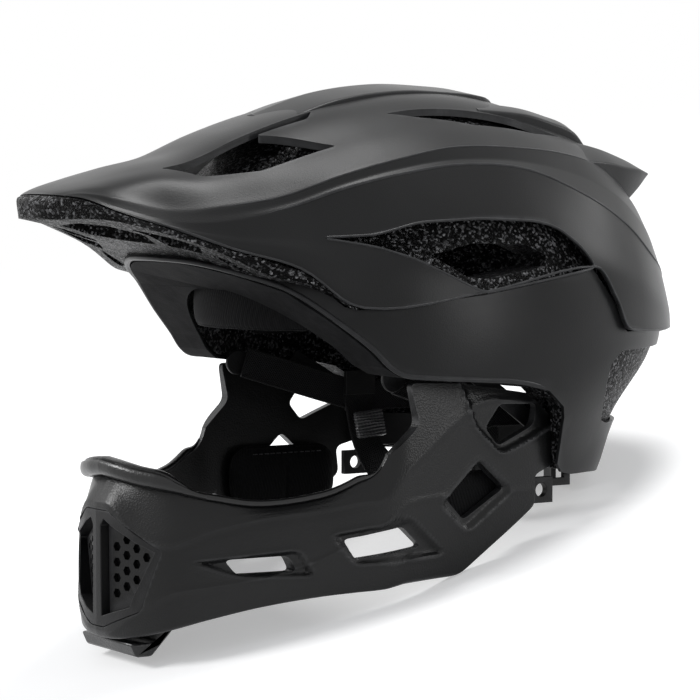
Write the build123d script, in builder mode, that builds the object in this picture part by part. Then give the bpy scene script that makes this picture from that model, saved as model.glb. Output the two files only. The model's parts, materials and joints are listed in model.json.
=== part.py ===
import os
from math import atan2, degrees, hypot, pi, sin

from build123d import *

os.makedirs("parts", exist_ok=True)

# Full face helmet for downhill riding. The front looks along -Y, the wearer's left is +X.
# Everything is laid out upright about the centre of the head, and the last section turns
# the finished pieces back until the jaw heel and the nape stand on one flat surface.

# Driving dimensions in millimetres
half_width = 104.0
brow_reach = 140.0
visor_reach = 190.0
rear_reach = 142.0
crown_height = 124.0
head_offset = 2.0
shell_wall = 2.0
foam_gap = 0.8
seam_gap = 0.8
overrun = 60.0
part_gap = 0.3

# Room for the head inside the foam
head_half_width = 80.0
head_half_length = 106.0
head_height = 95.0
neck_half_width = 74.0
neck_half_length = 94.0
neck_depth = 72.0
neck_shift = 10.0

# Chin guard
jaw_half_width = 88.5
chin_reach = 158.0
chin_drop = 124.0


def side_points(shares, front, height):
    """Side view outline: Y as shares of the front or rear reach, Z as shares of the height."""
    return [(y * (front if y < 0 else rear_reach), z * height) for y, z in shares]


def prism(points, plane, amount, both=False):
    """Solid prism of a closed outline."""
    with BuildPart() as tool:
        with BuildSketch(plane):
            with BuildLine():
                Polyline(*points, close=True)
            make_face()
        extrude(amount=amount, both=both)
    return tool.part


def side_prism(points):
    """Prism of a side view outline, right across the helmet."""
    return prism(points, Plane.YZ, half_width + overrun, both=True)


def block(low, high):
    """Box between two corners."""
    size = [b - a for a, b in zip(low, high)]
    middle = [(a + b) / 2 for a, b in zip(low, high)]
    with BuildPart(Plane(origin=middle)) as box:
        Box(*size)
    return box.part


def mirrored(solid):
    """The same piece on the other side of the helmet."""
    return solid.mirror(Plane.YZ)


# Upper shell with its peak: stations from the nose of the peak to the back of the head
front_station_shares = [-1, -0.979, -0.942, -0.884, -0.768, -0.653, -0.521, -0.384, -0.237, -0.063]
rear_station_shares = [0.169, 0.408, 0.592, 0.732, 0.845, 0.923, 0.972, 0.996]

# Each line of the upper shell: half width and height at each station, as shares of
# half_width and crown_height
ridge_shares = [
    (0, 0.577), (0, 0.605), (0, 0.629), (0, 0.656), (0, 0.704), (0, 0.746), (0, 0.83), (0, 0.899),
    (0, 0.952), (0, 0.992), (0, 0.988), (0, 0.931), (0, 0.851), (0, 0.742), (0, 0.613), (0, 0.488),
    (0, 0.323), (0, 0.202),
]
shoulder_shares = [
    (0.038, 0.574), (0.115, 0.6), (0.192, 0.62), (0.279, 0.633), (0.356, 0.657), (0.423, 0.657),
    (0.486, 0.696), (0.514, 0.758), (0.538, 0.815), (0.548, 0.849), (0.524, 0.849), (0.481, 0.819),
    (0.433, 0.766), (0.385, 0.661), (0.308, 0.544), (0.212, 0.44), (0.135, 0.306), (0.067, 0.19),
]
crease_shares = [
    (0.05, 0.571), (0.154, 0.592), (0.25, 0.608), (0.365, 0.593), (0.481, 0.548), (0.548, 0.563),
    (0.62, 0.597), (0.673, 0.668), (0.692, 0.726), (0.683, 0.774), (0.659, 0.774), (0.611, 0.75),
    (0.548, 0.694), (0.5, 0.585), (0.413, 0.476), (0.308, 0.362), (0.202, 0.262), (0.101, 0.17),
]
crease_foot_shares = [
    (0.056, 0.568), (0.168, 0.589), (0.266, 0.601), (0.385, 0.573), (0.5, 0.526), (0.567, 0.536),
    (0.638, 0.569), (0.69, 0.637), (0.71, 0.69), (0.712, 0.726), (0.702, 0.722), (0.673, 0.677),
    (0.644, 0.597), (0.587, 0.492), (0.481, 0.399), (0.356, 0.306), (0.231, 0.226), (0.115, 0.157),
]
ledge_shares = [
    (0.06, 0.565), (0.178, 0.586), (0.279, 0.596), (0.399, 0.56), (0.514, 0.51), (0.587, 0.512),
    (0.654, 0.556), (0.707, 0.625), (0.736, 0.676), (0.745, 0.711), (0.75, 0.694), (0.769, 0.593),
    (0.731, 0.484), (0.663, 0.371), (0.548, 0.298), (0.413, 0.226), (0.269, 0.169), (0.135, 0.129),
]
flank_shares = [
    (0.063, 0.56), (0.186, 0.583), (0.288, 0.592), (0.412, 0.551), (0.529, 0.492), (0.613, 0.462),
    (0.716, 0.452), (0.798, 0.435), (0.851, 0.476), (0.883, 0.5), (0.883, 0.492), (0.851, 0.444),
    (0.801, 0.339), (0.712, 0.258), (0.589, 0.202), (0.457, 0.153), (0.322, 0.121), (0.209, 0.101),
]
rim_shares = [
    (0.067, 0.556), (0.192, 0.581), (0.298, 0.588), (0.423, 0.54), (0.541, 0.476), (0.637, 0.411),
    (0.769, 0.344), (0.87, 0.21), (0.942, 0.226), (0.976, 0.238), (0.972, 0.234), (0.926, 0.21),
    (0.847, 0.161), (0.743, 0.121), (0.613, 0.097), (0.475, 0.073), (0.338, 0.056), (0.227, 0.048),
]
sill_shares = [
    (0.058, 0.536), (0.173, 0.516), (0.279, 0.52), (0.394, 0.51), (0.514, 0.456), (0.606, 0.383),
    (0.748, 0.298), (0.87, 0.185), (0.962, 0.032), (0.999, 0.016), (0.994, 0.016), (0.945, 0.008),
    (0.86, 0), (0.751, 0), (0.618, 0), (0.479, 0), (0.342, 0), (0.232, 0),
]
keel_shares = [
    0.526, 0.504, 0.492, 0.468, 0.419, 0.363, 0.28, 0.15, 0, -0.03, -0.03, -0.03, -0.03, -0.03,
    -0.03, -0.03, -0.03, -0.03,
]
# Extra points on the round stretches: how far across and down, and how far out
crown_point_shares = (0.55, 0.22)
flank_bulge_share = 0.05


def upper_station(number):
    """Place of one station along Y."""
    if number < len(front_station_shares):
        return front_station_shares[number] * visor_reach
    return rear_station_shares[number - len(front_station_shares)] * rear_reach


def drawn_in(points, inset):
    """A half outline shrunk evenly by the inset towards the middle of its section."""
    width = max(x for x, z in points)
    high = max(z for x, z in points)
    low = min(z for x, z in points)
    middle = (high + low) / 2
    across = 1 - inset / width
    upright = 1 - 2 * inset / (high - low)
    return [(x * across, middle + (z - middle) * upright) for x, z in points]


def bulged(start, end):
    """Middle of a side stretch, pushed out a little."""
    dx = end[0] - start[0]
    dz = end[1] - start[1]
    x = (start[0] + end[0]) / 2 - flank_bulge_share * dz
    z = (start[1] + end[1]) / 2 + flank_bulge_share * dx
    return (x, z)


def upper_section(number):
    """Closed face of the upper shell at one station."""
    lines = [ridge_shares, shoulder_shares, crease_shares, crease_foot_shares, ledge_shares]
    lines += [flank_shares, rim_shares, sill_shares]
    half = [(line[number][0] * half_width, line[number][1] * crown_height) for line in lines]
    half.append((0, keel_shares[number] * crown_height))
    top, shoulder = half[:2]
    across, down = crown_point_shares
    crown = (across * shoulder[0], top[1] - down * (top[1] - shoulder[1]))
    flank, rim = half[5:7]
    half = [top, crown] + half[1:6] + [bulged(flank, rim)] + half[6:]
    others = [(-x, z) for x, z in reversed(half[1:-1])]
    with BuildSketch(Plane.XZ.offset(-upper_station(number))) as section:
        with BuildLine():
            Polyline(*half, *others, close=True)
        make_face()
    return section.sketch


def upper_form():
    """Solid of the upper shell's outer form."""
    with BuildPart() as form:
        loft([upper_section(number) for number in range(len(ridge_shares))])
    return form.part


def strip_form(rows):
    """Ruled loft through half outlines, closed at x = 0 or standing beside it."""
    sections = []
    for y_share, shares in rows:
        y = y_share * (visor_reach if y_share < 0 else rear_reach)
        points = [(x * half_width, z * crown_height) for x, z in shares]
        if points[0][0] == 0:
            points += [(-x, z) for x, z in reversed(points[1:-1])]
        with BuildSketch(Plane.XZ.offset(-y)) as section:
            with BuildLine():
                Polyline(*points, close=True)
            make_face()
        sections.append(section.sketch)
    with BuildPart() as form:
        loft(sections, ruled=True)
    return form.part


# Raised middle band, the two rear ribs and the spoiler, each as rows of one station share and
# its outline shares
band_rows_shares = [
    (-0.4, [(0, 0.896), (0.25, 0.868), (0.26, 0.84), (0, 0.84)]),
    (-0.237, [(0, 0.978), (0.25, 0.95), (0.264, 0.9), (0, 0.9)]),
    (-0.063, [(0, 1.016), (0.25, 0.986), (0.264, 0.94), (0, 0.94)]),
    (0.113, [(0, 1.014), (0.24, 0.984), (0.255, 0.94), (0, 0.94)]),
    (0.282, [(0, 0.995), (0.23, 0.966), (0.245, 0.91), (0, 0.91)]),
    (0.324, [(0, 0.96), (0.22, 0.931), (0.235, 0.89), (0, 0.89)]),
]
rib_rows_shares = [
    (0.155, [(0.298, 0.948), (0.413, 0.916), (0.423, 0.88), (0.288, 0.91)]),
    (0.352, [(0.308, 0.931), (0.409, 0.899), (0.418, 0.85), (0.298, 0.88)]),
    (0.465, [(0.312, 0.902), (0.404, 0.869), (0.413, 0.81), (0.303, 0.84)]),
    (0.563, [(0.317, 0.863), (0.394, 0.831), (0.404, 0.76), (0.308, 0.79)]),
    (0.613, [(0.322, 0.798), (0.385, 0.778), (0.394, 0.74), (0.312, 0.76)]),
]
spoiler_rows_shares = [
    (0.521, [(0, 0.887), (0.442, 0.798), (0.577, 0.722), (0.558, 0.645), (0, 0.645)]),
    (0.648, [(0, 0.802), (0.413, 0.773), (0.519, 0.714), (0.49, 0.58), (0, 0.58)]),
    (0.746, [(0, 0.762), (0.375, 0.746), (0.471, 0.698), (0.442, 0.565), (0, 0.556)]),
    (0.831, [(0, 0.734), (0.337, 0.718), (0.418, 0.69), (0.394, 0.613), (0, 0.597)]),
    (0.901, [(0, 0.698), (0.288, 0.69), (0.356, 0.677), (0.346, 0.666), (0, 0.665)]),
]

# Lower shell: oval plan outlines at rising heights, as height share of crown_height and shares
# of half_width, brow_reach and rear_reach
plan_rows_shares = [
    (-0.52, 0.87, 0.9, 0.695),
    (-0.39, 0.93, 0.94, 0.745),
    (-0.26, 0.966, 0.97, 0.79),
    (-0.13, 0.99, 0.99, 0.88),
    (0, 1, 1, 0.968),
    (0.16, 0.99, 0.99, 0.985),
    (0.34, 0.951, 0.952, 0.952),
    (0.5, 0.881, 0.888, 0.888),
]


def lower_form(inset):
    """Solid of the lower shell's outer form, drawn in by the inset."""
    sections = []
    for z_share, width_share, front_share, back_share in plan_rows_shares:
        front = front_share * brow_reach - inset
        back = back_share * rear_reach - inset
        with BuildSketch(Plane.XY.offset(z_share * crown_height)) as section:
            with Locations((0, (back - front) / 2 + head_offset)):
                Ellipse(width_share * half_width - inset, (back + front) / 2)
        sections.append(section.sketch)
    with BuildPart() as form:
        loft(sections)
    return form.part


def dome_form(width, length, height):
    """Ellipsoid about the centre of the head."""
    with BuildPart() as form:
        Sphere(width)
        scale(by=(1, length / width, height / width))
    return form.part.moved(Location((0, head_offset, 0)))


def shell_dome(inset):
    """Ellipsoid inside the outer surface, drawn in by the inset."""
    length = (brow_reach + rear_reach) / 2
    return dome_form(half_width - inset, length - inset, crown_height - inset)


def box_between(shares, grow=0.0):
    """Box between two corners given as shares of half_width, rear_reach and crown_height."""
    corners = [(x * half_width, y * rear_reach, z * crown_height) for x, y, z in shares]
    return block([v - grow for v in corners[0]], [v + grow for v in corners[1]])


def pair(solid):
    """A piece and its mirror image."""
    return [solid, mirrored(solid)]


# Side view outlines of the shells and the foam, as shares of visor_reach, rear_reach and
# crown_height
seam_shares = [
    (-1.04, 0.629), (-0.979, 0.605), (-0.942, 0.592), (-0.884, 0.544), (-0.763, 0.476),
    (-0.653, 0.411), (-0.521, 0.344), (-0.384, 0.203), (-0.084, 0.25), (0.359, 0.331),
    (0.451, 0.21), (0.521, 0.093), (1.13, 0.093),
]
brow_top_shares = [(-0.747, 0.419), (-0.716, 0.411), (-0.5, 0.347), (-0.411, 0.214)]
shell_rim_shares = [
    (-0.747, 0.383), (-0.684, 0.365), (-0.653, 0.355), (-0.589, 0.315), (-0.511, 0.258),
    (-0.411, 0.129), (-0.353, 0.048), (-0.321, -0.008), (-0.289, -0.04), (-0.237, -0.052),
    (-0.105, -0.065), (0, -0.077), (0.141, -0.113), (0.218, -0.177), (0.229, -0.218),
    (0.236, -0.395), (0.268, -0.427), (0.331, -0.442), (0.451, -0.448), (0.599, -0.464),
    (0.739, -0.484), (1.06, -0.484),
]
parting_shares = [
    (-0.747, 0.415), (-0.716, 0.405), (-0.5, 0.33), (-0.4, 0.19), (-0.326, 0.129),
    (-0.237, 0.065), (1.13, 0.065),
]
side_vent_shares = [
    (-0.463, 0.452), (-0.332, 0.46), (-0.221, 0.504), (-0.058, 0.516), (0.134, 0.505),
    (0.222, 0.481), (0.307, 0.411), (0.362, 0.331), (-0.084, 0.25), (-0.258, 0.379),
    (-0.337, 0.419),
]
foam_window_shares = [
    (-0.189, 0.387), (-0.074, 0.427), (0.099, 0.419), (0.183, 0.379), (0.169, 0.339),
    (-0.053, 0.298), (-0.105, 0.306),
]
rear_vent_shares = [
    (0.493, 0.016), (0.437, -0.032), (0.433, -0.097), (0.441, -0.161), (0.465, -0.25),
    (0.521, -0.266), (1.13, -0.266), (1.13, 0.016),
]

# Plan outlines of the vents in the top, as shares of half_width and of the reach along Y
front_vent_shares = [
    (0.26, -0.732), (0.394, -0.663), (0.49, -0.532), (0.524, -0.337), (0.298, -0.484),
    (0.317, -0.347), (0.26, -0.316),
]
top_vent_shares = [
    (0.423, -0.163), (0.481, -0.084), (0.529, 0.077), (0.51, 0.331), (0.452, 0.465),
    (0.423, 0.282), (0.423, 0),
]
vent_slot_shares = [(0.34, -0.46), (0.47, -0.46), (0.49, -0.36), (0.36, -0.36)]
vent_floor = 66.0
slot_floor = 20.0
spine_half = 13.0

# Boxes given by two corners, as shares of half_width, rear_reach and crown_height
nape_notch_shares = [(-0.192, 0.493, -1), (0.192, 1.408, -0.242)]
foam_notch_shares = [(-0.212, 0.423, -1), (0.212, 1.408, -0.258)]
jaw_pocket_shares = [(0.721, 0.141, -0.5), (0.812, 0.287, -0.161)]
housing_shares = [(0.708, 0.293, -0.371), (0.771, 0.369, -0.242)]
rear_slot_shares = [(0.173, 0.634, -0.21), (0.5, 1.408, -0.032)]
tongue_shares = [(0.74, 0.239, -0.363), (0.763, 0.356, -0.29)]
bolt_notch_shares = [(0.673, 0.315, -0.371), (0.846, 0.344, -0.345)]
bolt_shares = [(0.74, 0.317, -0.476), (0.763, 0.342, -0.348)]
tongue_way_shares = [(0.74, 0.211, -0.363), (0.763, 0.362, -0.29)]
bolt_way_shares = [(0.74, 0.317, -0.565), (0.763, 0.342, -0.348)]
tab_bar_shares = [(0.74, 0.211, -0.484), (0.763, 0.342, -0.456)]
tab_shares = [(0.735, 0.176, -0.544), (0.769, 0.268, -0.448)]
jaw_pad_shares = [(0.668, -0.296, -0.645), (0.767, 0.12, -0.415)]
rim_rise = 1.5


def outline_prism(shares, floor):
    """Prisms of a plan outline upwards from a floor, on both sides of the helmet."""
    points = [(x * half_width, y * (visor_reach if y < 0 else rear_reach)) for x, y in shares]
    return pair(prism(points, Plane.XY.offset(floor), crown_height + overrun))


def region_under(shares, lift=0.0):
    """Everything under a side view line raised by the lift."""
    points = [(y, z + lift) for y, z in side_points(shares, visor_reach, crown_height)]
    bottom = -crown_height - overrun
    return side_prism(points + [(points[-1][0], bottom), (points[0][0], bottom)])


def region_over(shares, lift=0.0):
    """Everything over a side view line raised by the lift."""
    points = [(y, z + lift) for y, z in side_points(shares, visor_reach, crown_height)]
    top = crown_height + overrun
    return side_prism(points + [(points[-1][0], top), (points[0][0], top)])


# Hollow of the peak: a coarse copy of its sections, drawn in
peak_stations = [1, 3, 5, 7, 8]
peak_wall = 3.0


def peak_hollow():
    """Hollow under the skin of the peak."""
    sections = []
    for number in peak_stations:
        lines = [ridge_shares, shoulder_shares, crease_foot_shares, flank_shares, sill_shares]
        half = [(line[number][0] * half_width, line[number][1] * crown_height) for line in lines]
        half = drawn_in(half + [(0, keel_shares[number] * crown_height)], peak_wall)
        others = [(-x, z) for x, z in reversed(half[1:-1])]
        y = upper_station(number) * (1 - peak_wall / visor_reach)
        with BuildSketch(Plane.XZ.offset(-y)) as section:
            with BuildLine():
                Polyline(*half, *others, close=True)
            make_face()
        sections.append(section.sketch)
    with BuildPart() as form:
        loft(sections, ruled=True)
    return form.part


outer_form = upper_form()
side_vent = side_prism(side_points(side_vent_shares, visor_reach, crown_height))
top_vents = outline_prism(front_vent_shares, vent_floor) + outline_prism(top_vent_shares, vent_floor)
rear_vent = prism(
    side_points(rear_vent_shares, visor_reach, crown_height), Plane.YZ.offset(spine_half), half_width
)

# Upper shell: thin skin over the crown and the peak
with BuildPart() as upper_shell:
    add(outer_form)
    add(strip_form(band_rows_shares))
    add(pair(strip_form(rib_rows_shares)))
    add(strip_form(spoiler_rows_shares))
    add(shell_dome(peak_wall), mode=Mode.SUBTRACT)
    add(peak_hollow(), mode=Mode.SUBTRACT)
    add(region_under(seam_shares), mode=Mode.SUBTRACT)
    add(side_vent, mode=Mode.SUBTRACT)
    add(top_vents, mode=Mode.SUBTRACT)
upper_shell.part.label = "upper_shell"

# Lower shell: one band round the head, open at the face and under the ears
lower_top_shares = brow_top_shares + seam_shares[7:]
with BuildPart() as lower_shell:
    add(lower_form(0))
    add(lower_form(shell_wall), mode=Mode.SUBTRACT)
    add(region_over(lower_top_shares, -seam_gap), mode=Mode.SUBTRACT)
    add(region_under(shell_rim_shares), mode=Mode.SUBTRACT)
    add(pair(rear_vent), mode=Mode.SUBTRACT)
    add(box_between(nape_notch_shares), mode=Mode.SUBTRACT)
lower_shell.part.label = "lower_shell"

# Room for the head: a dome above the brow line and an oval tube under it
with BuildPart() as head_room:
    add(dome_form(head_half_width, head_half_length, head_height))
    split(bisect_by=Plane.XY, keep=Keep.TOP)
with BuildPart() as neck_room:
    with BuildSketch(Plane.XY):
        with Locations((0, head_offset)):
            Ellipse(head_half_width, head_half_length)
    with BuildSketch(Plane.XY.offset(-neck_depth)):
        with Locations((0, head_offset - neck_shift)):
            Ellipse(neck_half_width, neck_half_length)
    loft(ruled=True)
head_rooms = [head_room.part, neck_room.part]

# Foam rim under the peak, in front of the lower shell
foam_start = 75.0
with BuildPart() as brow_zone:
    add(lower_form(-part_gap))
    add(region_over(lower_top_shares), mode=Mode.SUBTRACT)
with BuildPart() as peak_foam:
    add(outer_form)
    add(region_over(seam_shares, -seam_gap), mode=Mode.SUBTRACT)
    add(brow_zone.part, mode=Mode.SUBTRACT)
    split(bisect_by=Plane.XZ.offset(foam_start), keep=Keep.TOP)

# Foam liner in two parts that meet at a parting line hidden under the shells
with BuildPart() as upper_foam:
    add(shell_dome(peak_wall + foam_gap))
    add(region_under(parting_shares), mode=Mode.SUBTRACT)
    add(peak_foam.part)
    add(head_rooms, mode=Mode.SUBTRACT)
    add(outline_prism(vent_slot_shares, slot_floor), mode=Mode.SUBTRACT)
    add(top_vents, mode=Mode.SUBTRACT)
    add(side_prism(side_points(foam_window_shares, visor_reach, crown_height)), mode=Mode.SUBTRACT)
upper_foam.part.label = "upper_foam"

with BuildPart() as lower_foam:
    add(lower_form(shell_wall + foam_gap))
    add(region_over(parting_shares, -foam_gap), mode=Mode.SUBTRACT)
    add(region_under(shell_rim_shares, rim_rise), mode=Mode.SUBTRACT)
    add(head_rooms, mode=Mode.SUBTRACT)
    add(box_between(foam_notch_shares), mode=Mode.SUBTRACT)
    for pocket_shares in [jaw_pocket_shares, housing_shares, bolt_way_shares, rear_slot_shares]:
        add(pair(box_between(pocket_shares, foam_gap)), mode=Mode.SUBTRACT)
lower_foam.part.label = "lower_foam"

# Chin guard wall, from behind the ear to the middle of the chin: place along the wall, top,
# the two ridges and bottom, as shares of jaw_half_width, chin_reach or rear_reach and chin_drop
jaw_rows_shares = [
    (0.904, 0.324, -0.065, -0.161, -0.484, -0.806),
    (0.985, 0.155, -0.065, -0.161, -0.484, -0.806),
    (1, -0.063, -0.048, -0.161, -0.484, -0.782),
    (0.991, -0.291, -0.048, -0.371, -0.5, -0.794),
    (0.972, -0.361, -0.347, -0.473, -0.565, -0.81),
    (0.915, -0.449, -0.427, -0.496, -0.629, -0.819),
    (0.842, -0.538, -0.476, -0.52, -0.694, -0.831),
    (0.718, -0.69, -0.502, -0.548, -0.758, -0.863),
    (0.599, -0.81, -0.48, -0.589, -0.786, -0.903),
    (0.475, -0.905, -0.452, -0.645, -0.815, -0.944),
    (0.294, -0.965, -0.435, -0.613, -0.903, -0.98),
    (0.136, -0.991, -0.419, -0.516, -0.968, -0.996),
    (0, -0.997, -0.411, -0.508, -0.976, -1),
]
jaw_side_wall = 6.0
jaw_front_wall = 9.0
jaw_flare = 1.5
edge_draw = 3.0
front_edge_draw = 7.0
heel_draw = 4.0
front_heel_draw = 1.0
jaw_cut_shares = [
    (-0.367, -0.353), (-0.256, -0.222), (-0.282, -0.073), (-0.114, -0.081), (0.137, -0.127),
    (0.285, -0.247), (0.277, -0.387), (0.155, -0.431), (0.165, -0.54), (-0.104, -0.77),
    (-0.139, -0.783), (-0.19, -0.787), (-0.19, -0.887), (0.42, -0.887), (0.42, 0.08),
    (-0.367, 0.08),
]
window_shares = [
    [(-0.777, -0.69), (-0.614, -0.679), (-0.594, -0.739), (-0.744, -0.749)],
    [(-0.477, -0.626), (-0.309, -0.586), (-0.244, -0.664), (-0.441, -0.701)],
    [(-0.168, -0.494), (-0.06, -0.363), (0.039, -0.469), (-0.102, -0.579)],
    [(-0.031, -0.247), (0.024, -0.162), (0.179, -0.17), (0.163, -0.247), (0.016, -0.316)],
]
frame_shares = [(0.113, -0.532), (0.441, -0.661), (0.328, -0.887), (0.068, -0.96)]
panel_shares = [
    (0.04, -0.589), (0.068, -0.565), (0.395, -0.669), (0.26, -0.871), (0.045, -0.919),
]


def jaw_place(number):
    """Place of one row of the wall and its outward direction."""
    places = []
    for row in jaw_rows_shares:
        y = row[1] * (chin_reach if row[1] < 0 else rear_reach)
        places.append(Vector(row[0] * jaw_half_width, y, 0))
    if number == 0:
        along = Vector(0, -1, 0)
    elif number == len(places) - 1:
        along = Vector(-1, 0, 0)
    else:
        along = (places[number + 1] - places[number - 1]).normalized()
    return places[number], along


def wall_form(numbers, outline):
    """Ruled solid along the rows of the wall, both sides, from an outline for each row."""
    sections = []
    for number in numbers:
        place, along = jaw_place(number)
        outward = Vector(-along.Y, along.X, 0)
        with BuildSketch(Plane(origin=place, x_dir=outward, z_dir=along)) as section:
            with BuildLine():
                Polyline(*outline(number), close=True)
            make_face()
        sections.append(section.sketch)
    with BuildPart() as form:
        loft(sections, ruled=True)
        if jaw_rows_shares[numbers[-1]][0] == 0:
            mirror(about=Plane.YZ)
    return form.part


def front_share(number):
    """How far a row stands towards the front, from 0 at the side to 1 at the chin."""
    return min(max(-jaw_rows_shares[number][1], 0), 1)


def wall_outline(number):
    """Section of the chin guard wall."""
    top, upper, lower, bottom = [z * chin_drop for z in jaw_rows_shares[number][2:]]
    share = front_share(number)
    wall = jaw_side_wall + share * (jaw_front_wall - jaw_side_wall)
    edge = edge_draw + share * (front_edge_draw - edge_draw)
    heel = heel_draw + share * (front_heel_draw - heel_draw)
    outer = [(-edge, top), (0, upper), (0, lower), (-heel, bottom)]
    return [(-wall, top)] + outer + [(-wall - jaw_flare, bottom)]


def rail_outline(out, back, low, high):
    """Section of a strip that lies along the top edge of the wall."""
    def outline(number):
        top = jaw_rows_shares[number][2] * chin_drop
        return [(-back, top + low), (-out, top + low), (-out, top + high), (-back, top + high)]
    return outline


def chin_points(shares, both=False):
    """Front view outline, on the wearer's left or on both sides."""
    points = [(x * jaw_half_width, z * chin_drop) for x, z in shares]
    return points + [(-x, z) for x, z in reversed(points)] if both else points


def chin_prism(points, shrink=0.0):
    """Prism of a front view outline through the front of the chin."""
    with BuildPart() as tool:
        with BuildSketch(Plane.XZ.offset(chin_reach - front_depth)):
            with BuildLine():
                Polyline(*points, close=True)
            make_face()
            if shrink:
                offset(amount=-shrink, kind=Kind.INTERSECTION, mode=Mode.REPLACE)
        extrude(amount=overrun)
    return tool.part


front_depth = 31.0
jaw_wall = wall_form(range(len(jaw_rows_shares)), wall_outline)
windows = [side_prism(side_points(shares, chin_reach, chin_drop)) for shares in window_shares]
panel_prism = chin_prism(chin_points(panel_shares))

with BuildPart() as chin_guard:
    add(jaw_wall)
    add(side_prism(side_points(jaw_cut_shares, chin_reach, chin_drop)), mode=Mode.SUBTRACT)
    add(windows, mode=Mode.SUBTRACT)
    add(chin_prism(chin_points(frame_shares, True)), mode=Mode.SUBTRACT)
    add(pair(box_between(tongue_shares, part_gap)), mode=Mode.SUBTRACT)
chin_guard.part.label = "chin_guard"

with BuildPart() as mouth_vent_frame:
    add(jaw_wall)
    add(chin_prism(chin_points(frame_shares, True), part_gap), mode=Mode.INTERSECT)
    add(pair(panel_prism), mode=Mode.SUBTRACT)
mouth_vent_frame.part.label = "mouth_vent_frame"

# Perforated screens behind the two openings of the frame
screen_wall = 2.0
screen_set = 3.2
screen_lean_share = 0.317
screen_margin = 1.0
screen_gap = 1.0
near_hole = 2.3
near_pitch = 7.0
far_hole = 1.6
far_pitch = 4.2


def screen(hole, pitch):
    """Flat sheet with rows of six sided holes, on the wearer's left."""
    length = hypot(1, screen_lean_share)
    across = Vector(1 / length, screen_lean_share / length, 0)
    outward = Vector(across.Y, -across.X, 0)
    plane = Plane(origin=(0, screen_set - chin_reach, 0), x_dir=across, z_dir=outward)
    points = [(x * length, z) for x, z in chin_points(panel_shares)]
    left = min(x for x, z in points)
    right = max(x for x, z in points)
    low = min(z for x, z in points)
    high = max(z for x, z in points)
    spots = []
    column = 0
    x = left
    while x < right:
        z = low + (column % 2) * pitch / 2
        while z < high:
            if edge_distance(points, x, z) > hole + screen_margin + screen_gap:
                spots.append((x, z))
            z += pitch
        column += 1
        x += pitch * sin(pi / 3)
    with BuildPart() as sheet:
        with BuildSketch(plane):
            with BuildLine():
                Polyline(*points, close=True)
            make_face()
            offset(amount=-screen_gap, kind=Kind.INTERSECTION, mode=Mode.REPLACE)
            with Locations(*spots):
                RegularPolygon(hole, 6, mode=Mode.SUBTRACT)
        extrude(amount=-screen_wall)
    return sheet.part


def edge_distance(points, x, z):
    """Distance of a place inside a convex outline to the nearest edge."""
    nearest = []
    for start, end in zip(points, points[1:] + points[:1]):
        dx = end[0] - start[0]
        dz = end[1] - start[1]
        nearest.append(((z - start[1]) * dx - (x - start[0]) * dz) / -hypot(dx, dz))
    return min(nearest)


mouth_vent_screen_left = screen(near_hole, near_pitch)
mouth_vent_screen_left.label = "mouth_vent_screen_left"
mouth_vent_screen_right = mirrored(screen(far_hole, far_pitch))
mouth_vent_screen_right.label = "mouth_vent_screen_right"

# Soft strips along the top edge of the wall
bumper_out = 2.0
bumper_back = 9.0
bumper_rise = 8.0
trim_out = 1.5
trim_back = 5.0
trim_rise = 2.6
lip_bumper = wall_form(
    range(9, 13), rail_outline(bumper_out, bumper_back, part_gap, bumper_rise)
)
lip_bumper.label = "lip_bumper"
trim_line = rail_outline(edge_draw + trim_out, edge_draw + trim_back, part_gap, trim_rise)
trim_left = wall_form(range(5, 9), trim_line)
jaw_edge_trim = Compound(children=pair(trim_left))
jaw_edge_trim.label = "jaw_edge_trim"

# Scoop that closes the chin from below, as shares of chin_reach and chin_drop
scoop_shares = [
    (-0.968, -1.005), (-0.885, -1.005), (-0.885, -0.95), (-0.81, -0.919), (-0.81, -0.94),
    (-0.899, -1.056), (-0.949, -1.056),
]
scoop_half = 24.0
with BuildPart() as chin_scoop:
    add(prism(side_points(scoop_shares, chin_reach, chin_drop), Plane.YZ, scoop_half, both=True))
chin_scoop.part.label = "chin_scoop"

# Latches between the chin guard and the lower shell
with BuildPart() as latch_tongue:
    add(box_between(tongue_shares))
    add(box_between(bolt_notch_shares), mode=Mode.SUBTRACT)
slide_gap = 0.4
with BuildPart() as latch_housing:
    add(box_between(housing_shares))
    add(box_between(tongue_way_shares, slide_gap), mode=Mode.SUBTRACT)
    add(box_between(bolt_way_shares, slide_gap), mode=Mode.SUBTRACT)
pull_hole_radius = 3.2
with BuildPart() as release_tab:
    add(box_between(bolt_shares))
    add(box_between(tab_bar_shares))
    add(box_between(tab_shares))
    middle = box_between(tab_shares).center()
    with Locations(Location((middle.X, middle.Y, middle.Z), (0, 90, 0))):
        Cylinder(pull_hole_radius, overrun, mode=Mode.SUBTRACT)

# Soft pads
pad_edge = 2.4


def arc_band(end_x, end_y, middle_y, wall, low, high):
    """Curved band round the head between two heights."""
    inward = wall if middle_y < 0 else -wall
    with BuildPart() as band:
        with BuildSketch(Plane.XY.offset(low)):
            with BuildLine():
                ThreePointArc((-end_x, end_y), (0, middle_y), (end_x, end_y))
                Line((end_x, end_y), (end_x - wall, end_y))
                ThreePointArc((end_x - wall, end_y), (0, middle_y + inward), (wall - end_x, end_y))
                Line((wall - end_x, end_y), (-end_x, end_y))
            make_face()
        extrude(amount=high - low)
    return band.part


def softened(solid, radius):
    """The same piece with its edges rounded."""
    with BuildPart() as piece:
        add(solid)
        fillet(piece.edges(), radius)
    return piece.part


brow_end_x_share = 0.625
brow_end_y_share = -0.7
brow_middle_share = -0.91
pad_wall = 7.0
brow_low = 14.0
brow_high = 34.0
brow_pad = softened(
    arc_band(
        brow_end_x_share * head_half_width, brow_end_y_share * head_half_length,
        brow_middle_share * head_half_length, pad_wall, brow_low, brow_high,
    ),
    pad_edge,
)
brow_pad.label = "brow_pad"


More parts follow.
